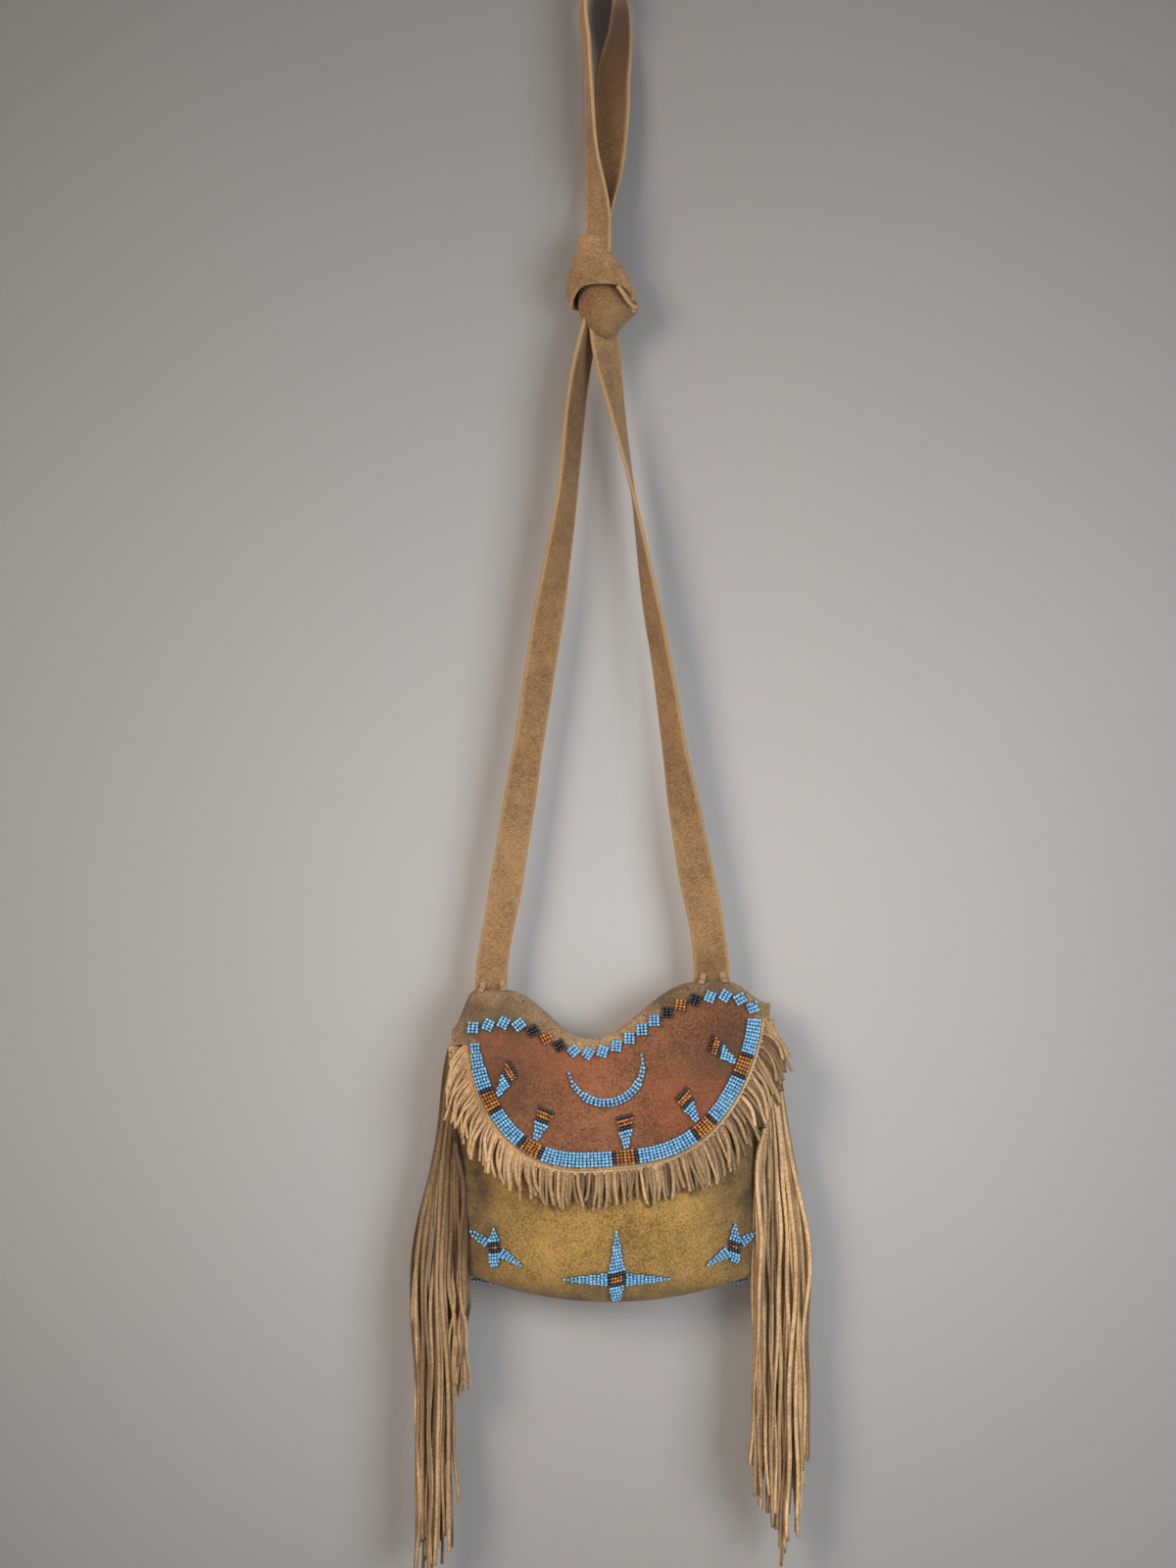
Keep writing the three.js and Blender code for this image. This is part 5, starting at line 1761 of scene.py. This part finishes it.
@dataclass
class Lacing(SubAssembly):
    """The pale thong that laces a strap end over the fold."""

    side: Side
    spread: float = 5.0
    rise: float = 4.4
    width: float = 3.4
    thickness: float = 1.3
    stations: int = 30

    def build(self) -> Piece:
        """Two short legs that rise over the roll and enter the strap, each a bent flat strip.

        Returns:
            The piece.
        """
        form = self.form
        place = form.strap_places[0] if self.side is Side.LEFT else form.strap_places[1]
        strap_x = float(form.top_x(place))
        axis = float(form.fold_axis_z(np.array([strap_x]))[0])
        crest = axis + form.fold_radius + form.hide / 2
        radius = form.fold_radius + form.hide / 2 + 0.6 * self.thickness
        roll_y = form.back_y - form.fold_radius
        turn = np.radians(np.array([132.0, 120.0, 106.0, 92.0, 76.0]))
        ring = together(0.0, roll_y + radius * np.cos(turn), axis + radius * np.sin(turn))
        rest = np.array([[0.0, 4.0, crest + 1.6], [0.0, 4.5, crest + 3.2], [0.0, 5.6, crest + self.rise]])
        knots = np.concatenate([ring, rest])
        marks = np.linspace(0, 1, len(knots))
        share = np.linspace(0, 1, self.stations)
        path = curve_through(np.concatenate([marks[:, None], knots], axis=1), share)
        offsets = np.array([-self.spread, self.spread + 1.5])
        places = together(strap_x + offsets, 0.0, np.array([0.0, 0.8]))
        legs = path[None] + places[:, None]
        legs[..., 0] += np.linspace(1.6, 0, self.stations)[None] * np.sign(offsets)[:, None]
        across = np.broadcast_to(np.array([1.0, 0.0, 0.1]), legs.shape)
        width = np.full(legs.shape[:2], self.width)
        thick = np.full(legs.shape[:2], self.thickness)
        body = strips(legs, across, width, thick, rounded_section(12, 0.5), np.array([0.07, 0.2]))
        name = f"{self.side.name.lower()}_strap_lacing"
        return make_piece(f"{name}_thong", body, [self.wardrobe.lace], [name])


@dataclass
class Columns:
    """Stitched columns of beads on a surface: places, directions of the lane, and bead letters."""

    a: Array
    b: Array
    heading: Array
    letters: list[str]

    @staticmethod
    def row(
        start: tuple[float, float],
        heading: tuple[float, float],
        letters: list[str],
        pitch: float,
        first: float = 0.0,
    ) -> "Columns":
        """Columns one after another in a straight lane.

        Args:
            start: both places where the lane starts.
            heading: unit direction of the lane.
            letters: the beads of each column.
            pitch: from column to column.
            first: distance from the start to the first column's near side.

        Returns:
            The columns.
        """
        along = first + (np.arange(len(letters)) + 0.5) * pitch
        lane = np.broadcast_to(np.array(heading), (len(letters), 2)).copy()
        return Columns(start[0] + along * heading[0], start[1] + along * heading[1], lane, letters)

    @staticmethod
    def gathered(rows: list["Columns"]) -> "Columns":
        """All the columns of several lanes in order."""
        a, b, heading, letters = zip(*((row.a, row.b, row.heading, row.letters) for row in rows))
        return Columns(np.concatenate(a), np.concatenate(b), np.concatenate(heading), sum(letters, []))


@dataclass
class Beadwork(SubAssembly):
    """All the lane-stitched beadwork: every bead is a short rounded tube threaded on its column."""

    pitch: float = 2.25
    bead_length: float = 1.75
    bead_radius: float = 1.03
    lane_beads: int = 5
    lane_margin: float = 0.9
    block_columns: int = 7
    block_places: tuple[float, ...] = (0.139, 0.288, 0.517, 0.708, 0.884)
    wedge_leans: tuple[float, ...] = (-28.0, -20.0, 2.0, 29.0, 52.0)
    wedge_skews: tuple[float, ...] = (-30.0, -3.0, 14.0, 18.0, 22.0)
    around: int = 8
    seat_lift: float = 0.12
    arch: float = 0.35
    fill: float = 0.97
    thread_reach: float = 0.4
    jitters: tuple[float, float, float, float] = (0.05, 0.07, 0.04, 0.02)
    size_spread: float = 0.045
    length_spread: float = 0.04
    diamond_count: int = 21
    diamond_slant: float = 33.0
    diamond_beads: int = 4
    crescent_columns: int = 30
    crescent_radius: float = 23.4
    crescent_place: float = -0.035
    crescent_drop: float = 14.9
    crescent_span: tuple[float, float] = (192.0, 376.0)
    edge_pitch: float = 2.6
    edge_share: float = 0.95

    def tube(self) -> tuple[Array, Faces, Faces, Array]:
        """One bead about its thread: rings of radius 0.66, 0.95, 1, 0.95 and 0.66 along it.

        Returns:
            Points as thread, side and up shares; quads; end caps; and the value hole per point, which
            is 1 at both ends and underneath.
        """
        along = np.array([-0.5, -0.34, 0.0, 0.34, 0.5])
        radius = np.array([0.66, 0.95, 1.0, 0.95, 0.66])
        angle = 2 * np.pi * (np.arange(self.around) + 0.5) / self.around
        ring = together(np.cos(angle), np.sin(angle))
        place = np.broadcast_to(along[:, None, None], (len(along), self.around, 1))
        points = np.concatenate([place, radius[:, None, None] * ring[None]], axis=-1)
        at = np.arange(len(along) * self.around).reshape(len(along), self.around)
        caps = np.stack([at[0, ::-1], at[-1]])
        ends = np.array([1.0, 0.0, 0.0, 0.0, 1.0])[:, None]
        hole = np.maximum(ends, np.clip(1 - ring[None, :, 1] / 0.75, 0, 1))
        return points.reshape(-1, 3), ring_quads(at), caps, hole.ravel()

    def sew(self, name: str, surface: Surface, columns: Columns, nodes: list[str], seed: int) -> Piece:
        """Sews columns of beads on a surface as one piece.

        Args:
            name: the piece's name.
            surface: function of two places that carries the beads.
            columns: where the columns are and which beads they hold.
            nodes: the nodes that the piece stands for.
            seed: of the beads' unevenness.

        Returns:
            The piece.
        """
        chance = np.random.default_rng(seed)
        counts = np.array([len(text) for text in columns.letters])
        column = np.repeat(np.arange(len(counts)), counts)
        number = np.arange(len(column)) - np.repeat(np.cumsum(counts) - counts, counts)
        off = (number - (counts[column] - 1) / 2) * self.bead_length
        across_jitter, along_jitter, lift_jitter, thread_jitter = self.jitters
        off = off + chance.normal(0, across_jitter, len(off))
        cross = together(-columns.heading[column, 1], columns.heading[column, 0])
        slide = chance.normal(0, along_jitter, len(off))
        a = columns.a[column] + cross[:, 0] * off + columns.heading[column, 0] * slide
        b = columns.b[column] + cross[:, 1] * off + columns.heading[column, 1] * slide
        arch = self.arch * (1 - (2 * off / np.maximum(counts[column] * self.bead_length, 1)) ** 2)
        seat = self.form.hide / 2 + self.bead_radius + self.seat_lift + arch
        centre, up = on_surface(surface, a, b, seat + chance.normal(0, lift_jitter, len(off)))
        ahead = surface(a + cross[:, 0] * self.thread_reach, b + cross[:, 1] * self.thread_reach)
        thread = unit(ahead - surface(a, b) + chance.normal(0, thread_jitter, (len(off), 3)))
        up = unit(up - np.sum(up * thread, axis=-1, keepdims=True) * thread)
        side = np.cross(up, thread)
        local, quads, caps, hole = self.tube()
        size = 1 + self.size_spread * chance.standard_normal(len(off)).clip(-2, 2)
        stretch = 1 + self.length_spread * chance.standard_normal(len(off)).clip(-2, 2)
        long = self.bead_length * self.fill * stretch
        radius = self.bead_radius * size[:, None]
        points = (
            centre[:, None]
            + (long[:, None] * local[:, 0])[..., None] * thread[:, None]
            + (radius * local[:, 1])[..., None] * side[:, None]
            + (radius * local[:, 2])[..., None] * up[:, None]
        )
        shift = (np.arange(len(off)) * len(local))[:, None, None]
        faces = [(quads[None] + shift).reshape(-1, 4), (caps[None] + shift).reshape(-1, self.around)]
        tint = np.repeat(chance.uniform(0, 1, len(off)), len(local))
        order = [kind.value for kind in Bead]
        hue = np.array([order.index(letter) for letter in "".join(columns.letters)])
        face_hue = np.concatenate([np.repeat(hue, len(quads)), np.repeat(hue, len(caps))])
        body = Body(points.reshape(-1, 3), faces, {"tint": tint, "hole": np.tile(hole, len(off))})
        materials = [self.wardrobe.beads[kind] for kind in Bead]
        return make_piece(name, body, materials, nodes, face_hue)

    @property
    def lane(self) -> SurfaceLine:
        """Middle of the border lane."""
        return self.form.edge_line(self.lane_margin + self.lane_beads * self.bead_length / 2)

    def border(self) -> Piece:
        """The border lane: blue, with amber blocks between two black columns.

        Returns:
            The piece.
        """
        lane = self.lane
        count = int(lane.length / self.pitch)
        a, b, heading = lane.at((np.arange(count) + 0.5) * self.pitch)
        missing = [2] * 3 + [1] * 4 + [0] * (count - 7)
        letters = ["u" * (self.lane_beads - few) for few in missing]
        for share in self.block_places:
            start = round(share * count - self.block_columns / 2)
            block = ["k"] + ["a"] * (self.block_columns - 2) + ["k"]
            letters[start : start + self.block_columns] = [letter * self.lane_beads for letter in block]
        nodes = [f"border_lane_{i}" for i in range(1, 7)] + [f"border_block_{i}" for i in range(1, 6)]
        columns = Columns(a, b, heading, letters)
        return self.sew("border_beads", self.form.flap, columns, nodes, seed=31)

    def wedges(self) -> Piece:
        """Five wedges that point inward from the blocks, each with an amber and black head.

        Returns:
            The piece.
        """
        lane = self.lane
        a, b, heading = lane.at(np.array(self.block_places) * lane.length)
        inward = together(-heading[:, 1], heading[:, 0])
        gap = self.lane_beads * self.bead_length / 2 + 0.6
        letters = ["uu", "uuu", "uuu", "uuuu", "uuuuu", "kkkkk", "aaaaa", "aaaaaa", "kkkkkk"]
        rows = []
        for index, lean in enumerate(np.radians(self.wedge_leans)):
            tip = (a[index] + inward[index, 0] * gap, b[index] + inward[index, 1] * gap)
            row = Columns.row(tip, (-math.sin(lean), math.cos(lean)), letters, 0.97 * self.pitch)
            square = lean + math.radians(self.wedge_skews[index])
            row.heading[:] = (-math.sin(square), math.cos(square))
            rows.append(row)
        columns = Columns.gathered(rows)
        nodes = [f"wedge_{i}" for i in range(1, 6)] + [f"wedge_head_{i}" for i in range(1, 6)]
        return self.sew("wedge_beads", self.form.flap, columns, nodes, seed=37)

    def diamonds(self) -> Piece:
        """Diamonds corner to corner under the fold: black, amber, black between runs of blue.

        Returns:
            The piece.
        """
        form = self.form
        start, end = (float(form.top_x(share)) for share in form.diamond_span)
        x = np.linspace(start, end, 240)
        line = SurfaceLine(form.flap, together(x, form.diamond_z(x)))
        number = self.diamond_count
        spacing = line.length / number
        a, b, heading = line.at((np.arange(number) + 0.5) * spacing)
        slant = np.arctan2(heading[:, 1], heading[:, 0]) - np.radians(self.diamond_slant)
        lane = together(np.cos(slant), np.sin(slant))
        from_end = np.minimum(np.arange(number), number - 1 - np.arange(number))
        hue = np.select([from_end == 5, (from_end == 4) | (from_end == 6)], ["a", "k"], "u")
        offsets = np.array([-1.0, 0.0, 1.0]) * self.pitch
        columns = Columns(
            (a[:, None] + lane[:, :1] * offsets).ravel(),
            (b[:, None] + lane[:, 1:] * offsets).ravel(),
            np.repeat(lane, len(offsets), axis=0),
            [str(letter) * self.diamond_beads for letter in np.repeat(hue, len(offsets))],
        )
        nodes = [f"diamond_{i:02d}" for i in range(1, number + 1)]
        return self.sew("diamond_beads", form.flap, columns, nodes, seed=41)

    def crescent(self) -> Piece:
        """A crescent of short columns, widest in the middle of its arc.

        Returns:
            The piece.
        """
        form = self.form
        share = (np.arange(self.crescent_columns) + 0.5) / self.crescent_columns
        angle = np.radians(mix(*self.crescent_span, share))
        centre_z = form.hump_z - form.dip_drop - self.crescent_drop
        a = float(form.top_x(self.crescent_place)) + self.crescent_radius * np.cos(angle)
        b = centre_z + self.crescent_radius * np.sin(angle)
        heading = together(-np.sin(angle), np.cos(angle))
        beads = np.round(0.8 + 2.5 * np.sin(np.pi * share)).astype(int)
        columns = Columns(a, b, heading, ["u" * int(count) for count in beads])
        return self.sew("crescent_beads", form.flap, columns, ["crescent"], seed=43)

    def star(
        self,
        name: str,
        across: float,
        up: float,
        lean: float,
        stem: tuple[list[int], list[str], list[int]],
        arms: tuple[list[int], list[int]],
        seed: int,
    ) -> Piece:
        """A four-pointed star: a stem of columns with a framed box, and an arm on each side.

        Args:
            name: the node it stands for.
            across: share of the bottom's half width.
            up: place above the belly line.
            lean: of the arms in degrees.
            stem: bead counts above the box, the box's letters, and bead counts below it.
            arms: bead counts of the left and the right arm, outwards.
            seed: of the beads' unevenness.

        Returns:
            The piece.
        """
        form = self.form
        top, box, bottom = stem
        x = form.bag_x + across * form.bottom_half
        letters = ["u" * count for count in top] + box + ["u" * count for count in bottom]
        above = (len(top) + len(box) / 2) * self.pitch
        columns = Columns.row((x, up + above), (0.0, -1.0), letters, self.pitch)
        if lean:
            shear = math.tan(math.radians(lean))
            columns.heading = unit(columns.heading + np.array([-shear, 0.0]) * 0.55)
        for side, counts in zip((-1, 1), arms):
            angle = math.radians(lean)
            heading = (side * math.cos(angle), side * math.sin(angle))
            start = (len(box[0]) * self.bead_length) / 2 / math.cos(angle) + 0.1
            arm = Columns.row((x, up), heading, ["u" * count for count in counts], self.pitch, start)
            arm.b = form.level_with(x, arm.b, arm.a)
            columns = Columns.gathered([columns, arm])
        return self.sew(f"{name}_beads", form.front, columns, [name], seed)

    def edge(self) -> Piece:
        """Beads over the bottom seam in slanted threes, blue with some black.

        Returns:
            The piece.
        """
        form = self.form
        chance = np.random.default_rng(53)
        half = self.edge_share * form.bottom_half
        x = np.arange(form.bag_x - half, form.bag_x + half, self.edge_pitch)
        heading = np.broadcast_to(unit(np.array([1.0, 0.25])), (len(x), 2)).copy()
        hue = np.where((np.arange(len(x)) // 6) % 3 == 2, "k", "u")
        letters = [str(letter) * 3 for letter in hue]
        x = x + chance.normal(0, 0.15, len(x))
        columns = Columns(x, np.full(len(x), -0.4), heading, letters)
        return self.sew("bottom_edge_seed_beads", form.seam_rim, columns, ["bottom_edge_beads"], seed=59)

    def build(self) -> list[Piece]:
        """All the beadwork.

        Returns:
            The pieces, from the border to the bottom edge.
        """
        wide_box = ["kkkkkk", "kaaaak", "kaaaak", "kkkkkk"]
        small_box = ["kkkk", "kaak", "kkkk"]
        top = [1, 1, 2, 2, 3, 3, 3, 4, 4, 5, 5, 6]
        centre = (top, wide_box, [5, 5, 4, 4, 3])
        left = ([1, 2, 3, 4], small_box, [4, 4, 4, 3])
        right = ([1, 2, 3, 3, 4], small_box, [4, 4, 3])
        long_arm = [5, 5, 4, 4, 4, 3, 3, 3, 2, 2, 1, 1]
        middle_arm = [4, 4, 3, 3, 2, 2, 1]
        return [
            self.border(),
            self.wedges(),
            self.diamonds(),
            self.crescent(),
            self.star("centre_star", 0.039, -46.0, 0.0, centre, (long_arm, long_arm), 61),
            self.star("left_star", -0.795, -43.0, -33.0, left, ([4, 3, 3, 2, 2, 1], middle_arm), 67),
            self.star("right_star", 0.847, -44.0, 33.0, right, (middle_arm, [4, 3, 3, 2, 1]), 71),
            self.edge(),
        ]


@dataclass
class Studio:
    """Camera, wall, floor and lights."""

    distance: float = 2.0
    centre: tuple[float, float] = (-0.0078, -0.492)
    view_height: float = 0.96
    wall_y: float = 0.017
    wall_lean: float = 0.022
    floor_z: float = -1.12
    wall_top: float = 2.0
    far: float = 3.0
    sensor: float = 36.0
    aim: Place = (0.0, 0.0, -0.55)
    # Centre and reach of the pool of light painted on the wall.
    light_pool_centre: Place = (0.02, 0.0, -0.62)
    light_pool_reach: float = 0.8
    room_strength: float = 0.45
    lamps: tuple[tuple[str, Place, float, float, Place], ...] = (
        ("key_light", (-1.35, -1.75, 0.25), 0.95, 31.0, (1.0, 0.91, 0.8)),
        ("fill_light", (1.4, -1.7, -0.45), 1.2, 33.5, (0.76, 0.885, 1.0)),
        ("back_light", (0.3, 2.4, 0.4), 1.5, 26.0, (1.0, 1.0, 1.0)),
    )

    def camera(self) -> None:
        """A camera level with the photograph's middle, looking along +Y."""
        data = bpy.data.cameras.new("camera")
        data.sensor_width = self.sensor
        data.lens = self.sensor * self.distance / self.view_height
        data.clip_end = 50.0
        camera = linked("camera", data)
        camera.location = (self.centre[0], -self.distance, self.centre[1])
        camera.rotation_euler = (math.pi / 2, 0.0, 0.0)
        bpy.context.scene.camera = camera

    def plaster(self, name: str, colour: Colour, shade: Colour) -> Material:
        """Matt wall paint, clear from behind, with a painted pool of light: darker away from its brightest
        place.

        Args:
            name: the material's name.
            colour: at the brightest place of the painted pool of light.
            shade: far from it.

        Returns:
            The material.
        """
        shader = Shader(name)
        # Painted light: the wall's colour is brightest at light_pool_centre and darkens away from it, for
        # the fall-off of the lamps.
        ends = {0: shader.place, 1: self.light_pool_centre}
        away = shader.wire("Value", "ShaderNodeVectorMath", {"operation": "DISTANCE"}, ends)
        light_pool_falloff = 1.15 * away.up_to(self.light_pool_reach) - 0.03 + 0.14 * (shader.noise(1.6, 2, 0.5) - 0.5)
        paint = shader.blend(light_pool_falloff, colour, shade)
        roller = shader.bump(shader.noise(700, 2, 0.5), 0.08, 0.0004)
        sockets = {"Base Color": paint, "Roughness": 0.9, "Normal": roller}
        front = shader.node("ShaderNodeBsdfPrincipled", {}, sockets).outputs[0]
        clear = shader.node("ShaderNodeBsdfTransparent").outputs[0]
        behind = shader.node("ShaderNodeNewGeometry").outputs["Backfacing"]
        pick = shader.node("ShaderNodeMixShader", {}, {0: behind, 1: front, 2: clear})
        shader.node("ShaderNodeOutputMaterial", {}, {"Surface": pick.outputs[0]})
        return shader.material

    def plane(self, name: str, corners: list[Place], material: Material) -> None:
        """A flat four-cornered piece of the stage.

        Args:
            name: the object's name.
            corners: counter-clockwise, seen from the bag.
            material: its paint.
        """
        mesh = bpy.data.meshes.new(name)
        mesh.from_pydata(corners, [], [(0, 1, 2, 3)])
        mesh.materials.append(material)
        plane = linked(name, mesh)
        plane.visible_shadow = False

    def lamp(self, name: str, place: Place, size: float, watts: float, colour: Place) -> None:
        """A square soft light that faces the bag's middle.

        Args:
            name: the light's name.
            place: of the light.
            size: length of its sides.
            watts: its power.
            colour: its linear red, green and blue.
        """
        data = bpy.data.lights.new(name, "AREA")
        data.size = size
        data.energy = watts
        data.color = colour
        lamp = linked(name, data)
        lamp.location = place
        aim = np.array(self.aim) - np.array(place)
        yaw = math.atan2(aim[0], -aim[1])
        pitch = math.atan2(math.hypot(aim[0], aim[1]), -aim[2])
        lamp.rotation_euler = (pitch, 0.0, math.pi + yaw)

    def build(self) -> None:
        """The whole stage."""
        self.camera()
        wall = self.plaster("wall_paint", tone(186, 179, 174), tone(56, 51, 46))
        low_y, high_y = (self.wall_y - self.wall_lean * z for z in (self.floor_z, self.wall_top))
        far, low, top = self.far, self.floor_z, self.wall_top
        foot = [(-far, low_y, low), (far, low_y, low)]
        self.plane("wall", [*foot, (far, high_y, top), (-far, high_y, top)], wall)
        floor = self.plaster("floor_paint", tone(205, 203, 200), tone(200, 198, 196))
        self.plane("floor", [(-far, -far, low), (far, -far, low), *foot[::-1]], floor)
        for lamp in self.lamps:
            self.lamp(*lamp)
        world = bpy.data.worlds.new("room")
        world.use_nodes = True
        background = world.node_tree.nodes["Background"]
        background.inputs["Color"].default_value = tone(226, 228, 232)
        background.inputs["Strength"].default_value = self.room_strength
        bpy.context.scene.world = world
        bpy.context.scene.view_settings.view_transform = "Standard"


def main() -> None:
    """Builds the stage and the bag, piece by piece."""
    logging.basicConfig(level=logging.INFO, format="%(message)s")
    form = PouchForm()
    Studio().build()
    wardrobe = Wardrobe.open()
    hides = Hides(form, wardrobe)
    back = hides.back_and_flap()
    front = hides.front_panel()
    short_fringe = FlapFringe(form, wardrobe).build()
    long_fringes = [SideFringe(form, wardrobe, side).build() for side in Side]
    Strap(form, wardrobe).build()
    for side in Side:
        Lacing(form, wardrobe, side).build()
    Beadwork(form, wardrobe).build()


if __name__ == "__main__":
    main()
